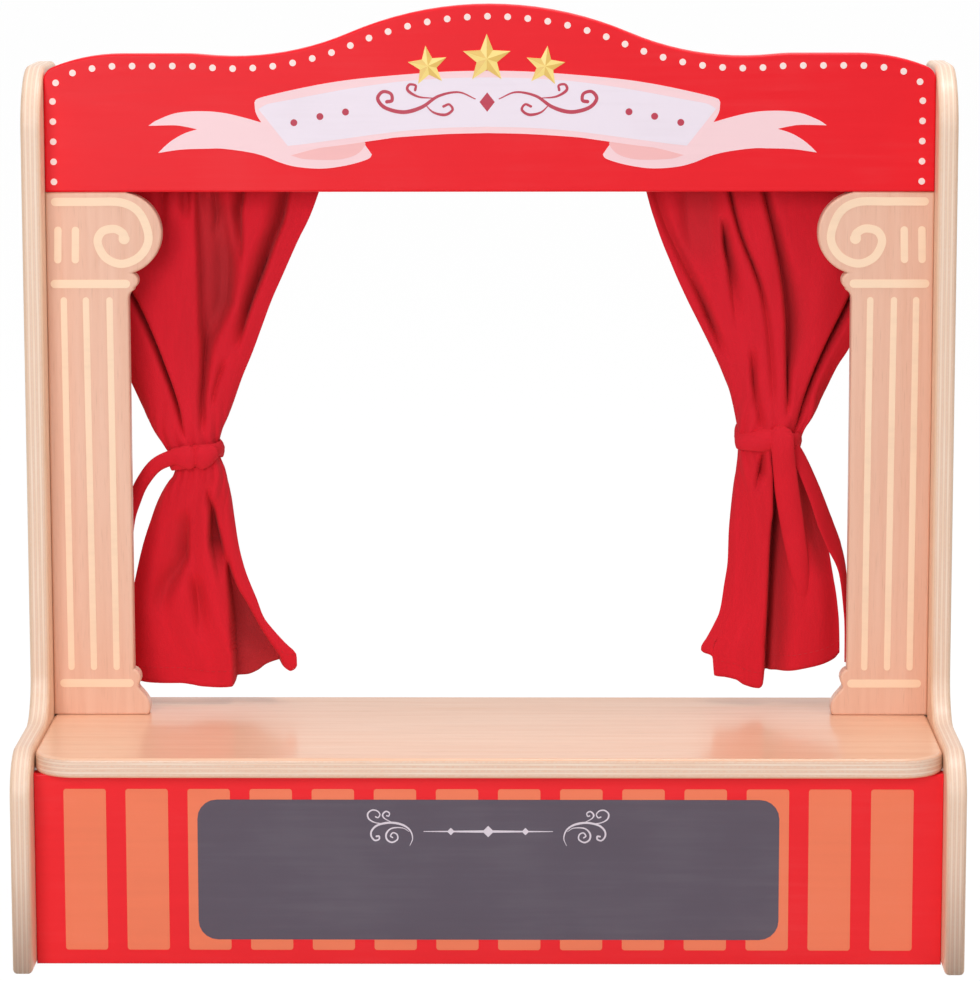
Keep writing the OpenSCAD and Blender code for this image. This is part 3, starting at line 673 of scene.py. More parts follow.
def both_halves(half_top, half_foot, end=None):
    """A closed outline from the left half of its top and foot lines and its left end."""
    top, foot = flowing(half_top), flowing(half_foot)
    side = flowing(end)[::-1][1:-1] if end else np.zeros((0, 2))
    left = np.vstack([top[::-1][1:], side, foot[:-1]])
    return np.vstack([top[-1:], left, foot[-1:], other_half(left)[::-1]])


band = both_halves(band_top, band_foot, band_end)
field = both_halves(field_top, field_foot)
ribbon_pink = paint_finish("ribbon_pink", shade(250, 212, 217), 0.42, 0.15)
ribbon_fold = paint_finish("ribbon_fold", shade(247, 186, 186), 0.42, 0.15)
ribbon_white = paint_finish("ribbon_white", shade(240, 228, 240), 0.42, 0.15)
ribbon_mark = paint_finish("ribbon_mark", shade(186, 44, 72), 0.45, 0.3)
for name, outlines, film_mm, finish in (
        ("ribbon_tails", pair(ribbon_tail), 0.12, ribbon_pink),
        ("ribbon_folds", pair(fold_inside), 0.17, ribbon_fold),
        ("ribbon_band", [band], 0.22, ribbon_pink), ("ribbon_field", [field], 0.27, ribbon_white)):
    printed(name, outlines, header_face, film_mm, finish)


def full_turn(steps):
    """Angles for a round shape with this many steps."""
    return np.linspace(0, 2 * math.pi, steps + 1)[:-1]


mark_r, mark_edge = 2.1, full_turn(20)
marks = [ring for mark in ((-117.4, 491.3), (-101.7, 495), (-86.3, 497.7))
         for ring in pair(mark + mark_r * np.stack([np.cos(mark_edge), np.sin(mark_edge)], 1))]
flourish_taper = [(0, 0.3), (0.35, 1.1), (0.8, 0.85), (1, 1.0)]
flourish = (
    ([(6, 505.5), (16, 509.5), (28, 507.2), (38, 500.6), (49, 497.6), (60, 500.2), (64.5, 505.6),
      (61.5, 509.8), (56.6, 508.6), (56, 504.6), (59, 503.8)], 2.2),
    ([(30, 505.9), (40, 506.8), (46.4, 510.6), (45.6, 514), (41.8, 513.6), (42, 510.8)], 1.6),
    ([(36, 502), (31, 497.4), (24, 496), (19.6, 499), (21.6, 502.2), (25, 501)], 1.6))
for curl, width in flourish:
    marks += pair(stroke(flowing(curl), width, flourish_taper))
marks.append(lozenge(print_mid, 503.6, 4.6, 5.8))
printed("ribbon_marks", marks, header_face, 0.33, ribbon_mark)

gold_pale = paint_finish("gold_pale", shade(252, 224, 132), 0.38, 0.3)
gold_deep = paint_finish("gold_deep", shade(234, 194, 98), 0.38, 0.3)
star_peak, star_rim, star_waist, star_corners = 0.95 * MM, 0.36 * MM, 0.43, 10
star_verts, star_faces, star_shades = [], [], []
for star_x, star_z, star_r, star_turn in (
        (-36.7, 525.2, 12.3, 7), (-1.4, 529.4, 15.0, 0), (33.6, 525.0, 12.3, -7)):
    first = len(star_verts)
    rim = [(star_r * (star_waist if k % 2 else 1), math.radians(90 + star_turn + 36 * k))
           for k in range(star_corners)]
    star_verts.append((star_x * MM, header_face - star_peak, star_z * MM))
    for lift in (-star_rim, SUNK):
        star_verts += [((star_x + r * math.cos(a)) * MM, header_face + lift, (star_z + r * math.sin(a)) * MM)
                       for r, a in rim]
    for k in range(star_corners):
        a, b = first + 1 + k, first + 1 + (k + 1) % star_corners
        star_faces += [(first, a, b), (b, a, a + star_corners, b + star_corners)]
        star_shades += [k % 2, 0]
    star_faces.append(tuple(first + 1 + star_corners + k for k in reversed(range(star_corners))))
    star_shades.append(0)
star_mesh = bpy.data.meshes.new("gold_stars")
star_mesh.from_pydata(star_verts, [], star_faces)
belongs(part("gold_stars", star_mesh), gold_pale, "red_lacquer")
star_mesh.materials.append(gold_deep)
star_mesh.polygons.foreach_set("material_index", star_shades)

# Curtain rod. A turned beech dowel lies behind the header with its ends let into the sides,
# and the curtains slide along it by the casings at their heads.
beech, beech_tree, beech_shader = new_finish("beech", Specular_IOR_Level=0.35)
beech_place = own_place(beech_tree)
beech_grain = noise(beech_tree, beech_place, (14, 420, 420), 4.0)
beech_fleck = ranged(beech_tree, noise(beech_tree, beech_place, (240, 1500, 1500), 1.0), 0.6, 0.75, 0.0, 0.4)
beech_tone = mixed(beech_tree, ranged(beech_tree, beech_grain, 0.3, 0.7), shade(240, 205, 168),
                   shade(222, 178, 136))
beech_tree.links.new(mixed(beech_tree, beech_fleck, beech_tone, shade(180, 128, 90)),
                     beech_shader.inputs["Base Color"])
beech_tree.links.new(ranged(beech_tree, beech_grain, 0.2, 0.8, 0.45, 0.62), beech_shader.inputs["Roughness"])
roughened(beech_tree, beech_shader, beech_grain, 0.08 * MM)
TIP = 0.005


def turned(name, profile, sides, middle=(0, 0), socket=0):
    """A turned piece along X from (x, radius) steps in millimetres, closed where the radius is
    TIP. Steps no wider than the socket are six-sided."""
    sixth = math.pi / 3
    bm = bmesh.new()
    rings = []
    for x, r in profile:
        ring = []
        for a in full_turn(sides):
            from_flat = (a + sixth / 2) % sixth - sixth / 2
            reach = r / math.cos(from_flat) if TIP < r <= socket else r
            ring.append(bm.verts.new((x * MM, (middle[0] + reach * math.cos(a)) * MM,
                                      (middle[1] + reach * math.sin(a)) * MM)))
        rings.append(ring)
    skinned(bm, rings)
    bmesh.ops.remove_doubles(bm, verts=bm.verts, dist=2.4 * TIP * MM)
    bmesh.ops.recalc_face_normals(bm, faces=bm.faces)
    mesh = meshed(name, bm)
    mesh.set_sharp_from_angle(angle=SHARP)
    return part(name, mesh)


rod_lo, rod_hi = [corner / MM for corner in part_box("curtain_rod")]
rod_y, rod_z, rod_r = (rod_lo.y + rod_hi.y) / 2, (rod_lo.z + rod_hi.z) / 2, (rod_hi.z - rod_lo.z) / 2
rod_chamfer = 0.8
rod = belongs(turned("rod_beech", [
    (rod_lo.x, TIP), (rod_lo.x, rod_r - rod_chamfer), (rod_lo.x + rod_chamfer, rod_r),
    (rod_hi.x - rod_chamfer, rod_r), (rod_hi.x, rod_r - rod_chamfer), (rod_hi.x, TIP)], 32, (rod_y, rod_z)),
    beech, "beech", "curtain_rod")

# Curtains. Each is one sheet of red velour with a sewn casing and a small frill at its head.
# It hangs in folds from the rod, is bunched by its tie at the waist and opens again below.

# The tables are in mm, as seen from the front. An edge is a list of (height, across) and a hem
# of (across, height). A fold is a list of (height, left rim, right rim, depth, run-in, run-out),
# or of (height, middle, depth, run-in, run-out) where it is narrow.
left_outer = [(466, -262), (447, -258), (416, -250), (376, -238), (350, -230), (324, -218.4), (308, -211.1),
              (300, -206.7), (292, -201.5), (284, -196.4), (277, -193.6), (271, -195.4), (267.6, -198.2),
              (259.4, -203.2), (251.3, -206.9), (243, -209.9), (235, -212.8), (227, -215.3), (210.6, -219.3),
              (200, -221.6), (185, -224), (165, -225), (150, -224), (130, -223)]
left_inner = [(466, -97.5), (447, -104.4), (436, -108.4), (428, -111.9), (420, -116.1), (412.4, -119.7),
              (396.4, -126.9), (380.4, -134.1), (364.4, -140.2), (348.3, -146.3), (332.2, -153.2),
              (316, -159.2), (308, -162.3), (300, -165.8), (292, -167.6), (284, -167.2), (275.7, -164.3),
              (267.6, -162.5), (259.4, -161.1), (243, -158.8), (227, -156.3), (218.7, -154.4),
              (210.6, -152.1), (202.4, -149), (194.2, -145.6), (182, -141), (173.8, -134.8), (166, -127.8),
              (158.2, -120.8), (130, -120.2)]
left_hem = [(-222, 143), (-213, 141.6), (-205, 141.4), (-192.6, 141.6), (-186, 140.8), (-180, 139.6),
            (-168.6, 138.9), (-161.4, 139.4), (-159.8, 141), (-158.8, 143.6), (-152, 144.2), (-146, 146.4),
            (-140.3, 150.2), (-134, 152.4), (-130.2, 153.2), (-127, 150), (-124.6, 148.6), (-122, 149.6),
            (-120, 153), (-119, 157)]
left_folds = (
    [(467, -200, 5, 3, 3), (440, -200, 4, 3, 3), (424, -201, 0, 3, 3)],
    [(467, -187, -185, 6, 3, 3), (441, -187, -185, 6, 3, 2.5), (428, -186, -185, 0, 3, 3)],
    [(410, -235, 6, 3.5, 2), (378.8, -217, 11, 2.8, 1.4), (353.9, -205.8, 14, 2.3, 1.2),
     (337, -199.4, 14, 2, 1.2), (323.9, -194.6, 12, 2, 1.2), (310.6, -190.6, 8, 2, 1.2),
     (294, -187.5, 0, 2, 1.2)],
    [(467, -180, -179, 6, 2, 4), (441.5, -179.2, -178.2, 8, 1.4, 5), (397, -178.1, -177, 9, 1.2, 6),
     (365, -177.6, -176.6, 9, 1.3, 5), (352, -176.6, -176, 10, 1.4, 4), (332, -177.2, -176.6, 11, 1.5, 3.5),
     (318.9, -178, -177.4, 9, 1.5, 3), (308.9, -177.7, -177, 6, 1.5, 2.5), (298, -178, 0, 1.5, 2)],
    [(458, -170, 0, 7, 4), (441, -168, -167, 8, 8, 5), (422, -166, -164, 13, 9, 6),
     (400, -165, -162, 17, 9, 6), (380, -166, -163, 17, 8, 5), (365, -170, -168, 12, 6, 4),
     (350, -174, -173, 5, 4, 3), (336, -175, 0, 3, 3)],
    [(467, -169, 2, 3, 2), (446, -168.4, 4, 3, 2), (433, -167.7, 5, 3, 2), (418, -169.5, 0, 3, 2)],
    [(467, -150, 6, 6, 1.5), (444.8, -151.1, 11, 6, 1.5), (433.3, -152.9, 14, 6, 1.5),
     (420, -152.7, 11, 5, 1.5), (403, -152.5, 0, 4, 1.5)],
    [(467, -121, 6, 7, 2), (443, -124.8, 12, 7, 2), (430, -127.4, 15, 7, 2), (415, -133.3, 15, 7, 2),
     (398.6, -139.2, 16, 6.5, 2), (380.4, -146, 15, 5.5, 1.6), (367, -150.4, 11, 4.5, 1.4),
     (358, -153, 6, 4, 1.4), (349, -156, 0, 4, 1.4)],
    [(345, -163, 0, 2, 2), (337, -165.5, 4, 2.5, 2), (323.9, -169.8, 4, 2, 2), (312, -172, 0, 2, 2)],
    [(268, -175, 0, 1.5, 2), (258, -174, -173.5, 5, 1.3, 2), (252, -172.7, -171.8, 10, 1.2, 2),
     (241, -173.1, -170.4, 16, 1.1, 2), (232, -173.4, -168.6, 16, 1.1, 2), (224, -172, -167.2, 10, 1.3, 2.5),
     (214, -169.5, -166.2, 4, 1.5, 3), (204, -167, -165.5, 0, 2, 3)],
    [(220, -163.5, -163, 0, 1.5, 2), (212.7, -162.8, -162.2, 9, 1.2, 1.8),
     (202.8, -162.2, -159.4, 15, 1.1, 1.8), (190.1, -161, -152.5, 19, 1.1, 1.8),
     (182, -160.6, -148.5, 20, 1.1, 2), (174.5, -160.2, -144.5, 20, 1.1, 2),
     (161.8, -159.4, -136.4, 18, 1.1, 2), (156, -159, -132.6, 17, 1.1, 2), (130, -158.8, -131, 15, 1.1, 2)],
    [(252, -187, 0, 6, 3), (241.8, -187.9, 6, 8, 2.2), (223, -188.5, 9, 8, 2.2), (211.4, -194, 9, 8, 3.5),
     (202.7, -199.1, 7, 8, 5), (194, -203, 4, 8, 5), (182, -206, 0, 7, 5)],
    [(212, -183.5, 0, 3, 4), (197, -182, 6, 3, 4.5), (182.4, -180.7, 4, 3, 5), (168, -180, 0, 3, 5)])
right_inner = [(466, 90.5), (447, 95.3), (436.2, 98.3), (428.3, 100.9), (420.3, 103.6), (412.4, 106.6),
               (404.4, 110), (396.4, 113.4), (380.4, 120.9), (364.4, 129.1), (348.3, 137.2), (340.3, 141),
               (332.2, 144.4), (324.2, 147.6), (316.1, 149.6), (308, 151.3), (300, 152.6), (290, 153),
               (283.8, 152.8), (275.7, 152), (267.6, 150.9), (251.3, 149), (235, 147.6), (218.7, 147.1),
               (202.4, 144.8), (186, 142.1), (177.8, 138.5), (169.6, 134.2), (163.3, 130.7), (130, 130.7)]
right_outer = [(466, 262), (447, 258), (416, 250), (390, 240), (372, 231), (356, 223), (348.3, 218.8),
               (340.3, 213.5), (324.2, 205.5), (308, 197.6), (300, 192.2), (292, 190), (284, 190.3),
               (276, 193), (267.6, 197), (259, 200.5), (245, 205), (230, 208.3), (210.6, 211.6),
               (194.2, 214.4), (177.8, 216), (161.4, 216.4), (130, 215)]
right_hem = [(129.5, 163), (132, 160.5), (137.6, 158), (138.8, 146.2), (146, 145.2), (152.5, 143.8),
             (157, 141), (166.5, 138.7), (168.2, 140), (169.6, 147.2), (176, 148.2), (182.4, 148.8),
             (193.8, 150.8), (203, 152.8), (209, 154.8), (213, 157), (216, 160.5)]
right_folds = (
    [(467, 120, 130, 6, 6, 8), (440, 121, 132, 8, 6, 8), (420, 123, 134, 7, 6, 8), (394, 128, 138, 0, 6, 6)],
    [(467, 96, 3, 2, 4), (432.3, 105.2, 5, 2.5, 4), (399.5, 120, 6, 2.5, 4), (383.9, 127.9, 8, 2.5, 3.5),
     (370, 134, 10, 2.5, 3), (357.8, 139.2, 6, 2.5, 3), (345, 144, 0, 2, 3)],
    [(432, 142.2, 0, 1.5, 4), (422.8, 142.8, 9, 1.4, 3.5), (413.3, 143.5, 144, 14, 1.3, 3.5),
     (401.2, 145.8, 146.4, 12, 1.4, 4), (382, 148.6, 5, 1.5, 5), (362, 151, 0, 1.5, 4)],
    [(467, 142, 7, 2, 2), (443.4, 147.2, 10, 1.8, 2), (423, 152.4, 10, 1.8, 2), (412, 156.4, 10, 1.8, 2),
     (402.3, 160.5, 10, 1.8, 2), (385.6, 166.1, 7, 1.8, 2.2), (370, 169.3, 4, 2, 2.5),
     (330, 173.1, 3, 2, 2.5), (303, 174.5, 0, 2, 2)],
    [(467, 163, 7, 1.8, 3.5), (443.4, 167.8, 11, 1.6, 3.5), (432.2, 170.5, 12, 1.5, 4),
     (416.7, 174.1, 13, 1.4, 4.5), (399.4, 177.7, 178, 14, 1.4, 5), (382, 180.4, 181, 14, 1.4, 5),
     (364.8, 181.8, 182.4, 14, 1.4, 5), (347.4, 182, 182.4, 13, 1.4, 4), (335, 182.1, 12, 1.3, 2.6),
     (324.7, 182.2, 9, 1.3, 2.2), (308, 182.2, 0, 1.5, 2)],
    [(405, 184, 185, 0, 5, 6), (385, 186, 188, 2.5, 5, 7), (362, 187.5, 189.5, 3, 5, 7),
     (345, 187, 188, 2, 4, 5), (334, 186, 0, 3, 4)],
    [(467, 250, 4, 2, 8), (430, 243, 8, 2, 8), (400, 229, 12, 1.6, 5), (378.6, 219.2, 13, 1.5, 4),
     (347.4, 204, 13, 1.4, 3), (331.7, 197.3, 12, 1.4, 2.6), (317.8, 192.3, 10, 1.4, 2.4),
     (303.8, 188.1, 6, 1.4, 2.2), (295, 185, 0, 1.4, 2)],
    [(352, 160.6, 0, 2, 3), (345.7, 160.9, 4, 2, 3), (331.7, 161.5, 7, 1.8, 2.6),
     (319.5, 163.2, 6, 1.8, 2.6), (305.5, 166.4, 4, 1.8, 2.5), (297, 168.8, 0, 1.8, 2)],
    [(290, 168, 0, 1.5, 2), (284, 167, 167.4, 6, 1.3, 2), (276, 165.5, 166, 8, 1.2, 2.5),
     (269, 164, 4, 1.3, 2.5), (262, 163, 0, 1.5, 2.5)],
    [(292, 174, 0, 1.5, 2), (284, 174.1, 174.5, 3, 1.5, 3), (275, 174.5, 176, 7, 1.3, 4),
     (262.3, 175, 178, 11, 1.2, 5), (249.2, 175.1, 178, 13.5, 1.1, 6), (240.5, 174, 177, 14, 1.1, 7),
     (223.1, 173.2, 176.5, 14, 1.1, 8), (208.6, 172.6, 176.5, 13.5, 1.1, 8),
     (186.7, 171.8, 176.5, 13, 1.1, 8), (164.8, 170.9, 175.5, 12, 1.1, 8), (130, 170, 174, 10, 1.1, 8)],
    [(284, 174.4, 0, 1.1, 1.5), (262.3, 175, 175.5, 5, 1.1, 1.8), (249.2, 175.1, 175.9, 7, 1.1, 2),
     (223.1, 173.2, 174.4, 7.5, 1.1, 2.2), (208.6, 172.6, 173.8, 7, 1.1, 2.2),
     (186.7, 171.8, 173, 6.5, 1.1, 2), (164.8, 170.9, 172, 6, 1.1, 2), (130, 170, 171, 5, 1.1, 2)],
    [(285, 190, 196, 0, 3, 3), (270, 193, 201, 8, 5, 4), (255, 196, 205, 12, 6, 4),
     (238, 200, 209, 11, 7, 4), (222, 204, 211, 6, 7, 4), (205, 207, 212, 0, 7, 4)])
cloth_t, drop_rows, cloth_cols, seam_height = 1.3, 132, 200, 466


def eased(table, at):
    """Cubic lines down a table's columns that never overshoot, read at any heights."""
    rows = np.array(sorted(table), float)
    heights, values = rows[:, 0], rows[:, 1:]
    step = np.diff(heights)[:, None]
    rise = np.diff(values, axis=0) / step
    slope = np.zeros_like(values)
    slope[0], slope[-1] = rise[0], rise[-1]
    w1, w2 = 2 * step[1:] + step[:-1], step[1:] + 2 * step[:-1]
    same = rise[:-1] * rise[1:] > 0
    before, after = np.where(same, rise[:-1], 1), np.where(same, rise[1:], 1)
    slope[1:-1][same] = ((w1 + w2) / (w1 / before + w2 / after))[same]
    flat = np.clip(np.ravel(at), heights[0], heights[-1])
    k = np.clip(np.searchsorted(heights, flat, side="right") - 1, 0, len(heights) - 2)
    h = step[k]
    t = ((flat - heights[k])[:, None]) / h
    line = (values[k] * (1 + 2 * t) * (1 - t) ** 2 + slope[k] * h * t * (1 - t) ** 2
            + values[k + 1] * t * t * (3 - 2 * t) + slope[k + 1] * h * t * t * (t - 1))
    return [column.reshape(np.shape(at)) for column in line.T]


def drape(edge_left, edge_right, hem, waist, folds, seed):
    """The middle surface of one curtain in millimetres, rows from the casing seam to the hem,
    with the depth of its folds as a fourth number at each point. The bunch is a table of height,
    degrees from the middle to a rim, depth of the rims with the rod at 50, and bulge in front."""
    rod_depth, hem_level = 50, 146.0
    bunch = [(seam_height, 50, 50.5, 2.0), (440, 55, 51.5, 4.0), (waist + 62, 60, 53, 7.5),
             (waist + 30, 85, 54.5, 12.5), (waist + 12, 135, 58, 18.6), (waist, 160, 60.5, 21.6),
             (waist - 12, 135, 58, 18.6), (waist - 32, 85, 54.5, 12.5), (waist - 64, 60, 53, 7.5),
             (130, 55, 52, 5.0)]
    turn = np.linspace(-1, 1, cloth_cols)[None]

    def laid(z):
        (left,), (right,) = eased(edge_left, z), eased(edge_right, z)
        wrap, back, bulge = eased(bunch, z)
        reach = np.radians(wrap)
        angle = turn * reach
        x = (left + right) / 2 + (right - left) / 2 * np.sin(angle) / np.sin(np.minimum(reach, math.pi / 2))
        y = back - bulge * (np.cos(angle) - np.cos(reach)) / (1 - np.cos(reach))
        return x, y, np.clip(np.cos(angle) * 3, 0, 1)

    foot, _, _ = laid(np.full((1, cloth_cols), hem_level))
    (hem_z,) = eased(hem, foot)
    down = np.linspace(0, 1, drop_rows)[:, None]
    z = seam_height + (hem_z - seam_height) * down
    x, y, front = laid(z)
    hollow = np.zeros_like(y)
    for fold in folds:
        near, far, depth, run_in, run_out = eased([(*row[:2], *row[-4:]) for row in fold], z)
        within = (z <= fold[0][0]) & (z >= fold[-1][0])
        hollow += front * within * depth * np.exp(-(np.maximum(near - x, 0) / run_in) ** 2
                                                  - (np.maximum(x - far, 0) / run_out) ** 2)
    y = y + hollow
    ripples, ripple_depth = 9, 0.5
    rng = np.random.default_rng(seed)
    for _ in range(ripples):
        waves, drift, phase = rng.uniform(3, 9), rng.uniform(-5, 5), rng.uniform(0, 6.3)
        hump = np.exp(-((down - rng.uniform(0.05, 1)) / rng.uniform(0.10, 0.25)) ** 2)
        y = y + ripple_depth * hump * np.sin(waves * turn * math.pi / 2 + drift * down * 2 + phase)
    crease_depth, crease_reach, creases = 0.9, 22, 31
    gathered = np.exp(-((z - waist) / crease_reach) ** 2)
    y = y + crease_depth * gathered * np.sin(turn * creases + 0.6 * np.sin(z / 9))
    return np.stack([x, y + rod_y - rod_depth, z, hollow], 2)


casing = np.array([(-12.5, 2.2), (-6.5, 6.6), (0.0, 8.4), (6.5, 6.6), (12.1, 1.5), (16.5, 1.7), (19.9, 0.0),
                   (16.5, -1.7), (12.1, -1.5), (6.5, -6.6), (0.0, -8.4), (-6.5, -6.2)])


def headed(cloth, seed):
    """Adds the casing round the rod and the frill above it, gathered in small ruffles. The
    casing is a line of (rise over the rod, offset from it)."""
    ruffles, frill_from, frill_run, seam_drop = 21, 9.5, 10, 12.5
    casing_swing, frill_swing, frill_lift = 0.55, 2.6, 0.5
    line = flowing(casing, 4)[:-2]
    seam = cloth[0]
    u = np.linspace(0, 1, cloth.shape[1])
    rng = np.random.default_rng(seed)
    pleats = np.sin(2 * math.pi * (u * ruffles + 0.35 * np.sin(2 * math.pi * u * 3 + rng.uniform(0, 6))))
    head = np.repeat(seam[None], len(line), 0)
    for row, (rise, off) in zip(head, line):
        away = np.clip((rise - frill_from) / frill_run, 0, 1)
        near_seam = np.clip(-rise / seam_drop, 0, 1)
        swing = (casing_swing + frill_swing * away) * pleats * (1 if away > 0 else np.sign(off))
        row[:, 1] = rod_y + off + (seam[:, 1] - rod_y) * near_seam + swing
        row[:, 2] = rod_z + rise + frill_lift * away * pleats
        row[:, 3] *= near_seam
    return np.concatenate([head, cloth], 0)


def run_along(grid, axis=0):
    """How far along a grid of points each row or column lies, in metres, on the average."""
    steps = np.linalg.norm(np.diff(grid, axis=axis), axis=2).mean(1 - axis)
    return np.concatenate([[0], np.cumsum(steps)]) * MM


def mapped(mesh, uv):
    """Makes a cloth mesh smooth and gives each of its points a place on a map in metres."""
    corners = np.zeros(len(mesh.loops), np.int64)
    mesh.loops.foreach_get("vertex_index", corners)
    mesh.uv_layers.new(name="cloth_metres").data.foreach_set("uv", np.array(uv)[corners].ravel())
    mesh.polygons.foreach_set("use_smooth", [True] * len(mesh.polygons))
    return mesh


def cloth_mesh(name, cloth):
    """A grid of points in millimetres as a sheet with thickness."""
    grid, (rows, cols) = cloth[:, :, :3], cloth.shape[:2]
    index = np.arange(rows * cols).reshape(rows, cols)
    faces = np.stack([index[:-1, :-1], index[:-1, 1:], index[1:, 1:], index[1:, :-1]], 2).reshape(-1, 4)
    mesh = bpy.data.meshes.new(name)
    mesh.from_pydata((grid.reshape(-1, 3) * MM).tolist(), [], faces.tolist())
    # Each point keeps the depth of its fold; the velour paints shade into the hollows from it.
    mesh.attributes.new("fold_depth", "FLOAT", "POINT").data.foreach_set("value", cloth[:, :, 3].ravel() * MM)
    uv = np.stack(np.meshgrid(run_along(grid, 1), -run_along(grid)), 2).reshape(-1, 2)
    sheet = part(name + "_middle", mapped(mesh, uv))
    thick = sheet.modifiers.new("thickness", "SOLIDIFY")
    thick.thickness, thick.offset = cloth_t * MM, 0.0
    return settled(sheet)


velour, velour_in, velour_out = effect_group("velour_pile_and_shade", [
    ("Place", "Vector", None), ("Cloth", "Vector", None), ("Depth", "Float", 0.0), ("Tone", "Color", WHITE),
    ("Shadow", "Color", WHITE), ("Hollow shade", "Color", WHITE)])
given = velour_in.outputs
pile = noise(velour, given["Place"], (1600, 1600, 1600), 2.0)
nap = noise(velour, given["Cloth"], (60, 14, 1))
brushed = noise(velour, given["Cloth"], (420, 70, 1), 2.0)
napped = ranged(velour, weighted(velour, (nap, 0.5), (brushed, 0.25), (pile, 0.25)), 0.36, 0.62)
brushed_tone = mixed(velour, napped, given["Shadow"], given["Tone"])
# Painted shade: the colour turns towards the Hollow shade colour as the fold under it gets deeper, from 1 mm
# to 31 mm.
puts_out(velour, velour_out,
         Color=mixed(velour, ranged(velour, given["Depth"], 1 * MM, 31 * MM), brushed_tone, given["Hollow shade"]),
         Roughness=ranged(velour, pile, 0.2, 0.8, 0.82, 0.98),
         Height=weighted(velour, (pile, 1.0), (brushed, 0.2)))


def velour_finish(name):
    """Red velour, paler where its pile is brushed up, and with painted shade that turns it brown in the
    hollows of the folds.
    """
    finish, tree, shader = new_finish(name, Sheen_Weight=0.06, Sheen_Roughness=0.5, Specular_IOR_Level=0.4,
                                      Sheen_Tint=shade(255, 150, 150))
    covered(tree, shader, velour, [
        ("Place", own_place(tree)),
        ("Cloth", put(tree, "ShaderNodeUVMap", uv_map="cloth_metres").outputs[0]),
        ("Depth", put(tree, "ShaderNodeAttribute", attribute_name="fold_depth").outputs["Fac"]),
        # Painted shade: the hollows of the folds take the dark brown-red Hollow shade colour.
        ("Tone", shade(222, 20, 42)), ("Shadow", shade(211, 18, 38)), ("Hollow shade", shade(142, 48, 49))],
        0.28 * MM, 0.8)
    return finish


curtain_velour = velour_finish("curtain_velour")
drapes = {"left": headed(drape(left_outer, left_inner, left_hem, 285, left_folds, 3), 5),
          "right": headed(drape(right_inner, right_outer, right_hem, 295, right_folds, 4), 6)}
for hand, grid in drapes.items():
    name = "curtain_cloth_" + hand
    belongs(part(name, cloth_mesh(name, grid)), curtain_velour, "curtain_velour",
                             "curtain_" + hand, body=hand + "_curtain")

# Curtain ties. A flat sewn strip of the same velour goes round the waist of each curtain.
# The left one leaves a tail behind the column; the right one is knotted in front, with two tails.
tie_t, tie_girth = 1.6, 16 * MM


def strap(path, widths, facing, closed=False, thick=tie_t, bow=0.5):
    """A soft strip along a line in millimetres; facing says which way its bowed side looks."""
    p, w, f = np.array(path, float), np.array(widths, float), np.array(facing, float)
    run = (np.roll(p, -1, 0) - np.roll(p, 1, 0)) if closed else np.gradient(p, axis=0)
    run /= np.linalg.norm(run, axis=1)[:, None]
    side = np.cross(f, run)
    side /= np.linalg.norm(side, axis=1)[:, None]
    out = np.cross(run, side)
    cos, sin = np.cos(full_turn(20)), np.sin(full_turn(20))
    c, s = np.copysign(abs(cos) ** 0.5, cos), np.copysign(abs(sin) ** 0.8, sin)
    across = w[:, None, None] / 2 * c[:, None]
    lift = (thick / 2 * s + bow * (0.5 - c * c))[:, None]
    return p[:, None] + side[:, None] * across + out[:, None] * lift, closed


def strap_mesh(name, straps):
    """Several straps as one smooth mesh; its map runs round and along each."""
    bm, maps = bmesh.new(), []
    for rings, closed in straps:
        along = run_along(rings.mean(1)[:, None])
        sides = rings.shape[1]
        maps += [(tie_girth * k / sides, -distance) for distance in along for k in range(sides)]
        hoops = [[bm.verts.new(point) for point in ring] for ring in rings * MM]
        skinned(bm, [*hoops, hoops[0]] if closed else hoops)
        if not closed:
            bm.faces.new(hoops[0][::-1])
            bm.faces.new(hoops[-1])
    bmesh.ops.recalc_face_normals(bm, faces=bm.faces)
    return mapped(meshed(name, bm), maps)


def tail(points, widths, facing, thick=tie_t, bow=0.5):
    """A loose end of a tie through points, with its width and its facing at each."""
    line = flowing(points, 7)
    t, key = np.linspace(0, 1, len(line)), np.linspace(0, 1, len(points))
    facings = np.stack([np.interp(t, key, axis) for axis in zip(*facing)], 1)
    return strap(line, np.interp(t, key, widths), facings, thick=thick, bow=bow)


def waist_band(mid_x, mid_z, half_x, half_y, tilt, height):
    """The round of a tie at the waist, tilted to one side and a little uneven, as cloth is."""
    a = full_turn(72)
    path = np.stack([mid_x + half_x * np.cos(a), rod_y + half_y * np.sin(a),
                     mid_z + tilt * np.cos(a) + 0.5 * np.sin(3 * a + 0.6)], 1)
    facing = np.stack([np.cos(a) / half_x, np.sin(a) / half_y, 0.05 * np.sin(2 * a)], 1)
    widths = height * (1 - 0.12 * np.cos(a) ** 4) + 0.6 * np.sin(2 * a + 0.9)
    return strap(path, widths, facing, closed=True, bow=3.0)


def lying(hand, points):
    """Puts (across, height, lift) points on the front of a curtain, lifted off it in millimetres."""
    reach_x, reach_z = 7, 3
    cloth = drapes[hand].reshape(-1, 4)
    placed = []
    for x, z, lift in points:
        under = (abs(cloth[:, 0] - x) < reach_x) & (abs(cloth[:, 2] - z) < reach_z)
        placed.append((x, cloth[under, 1].min() - lift, z))
    return placed


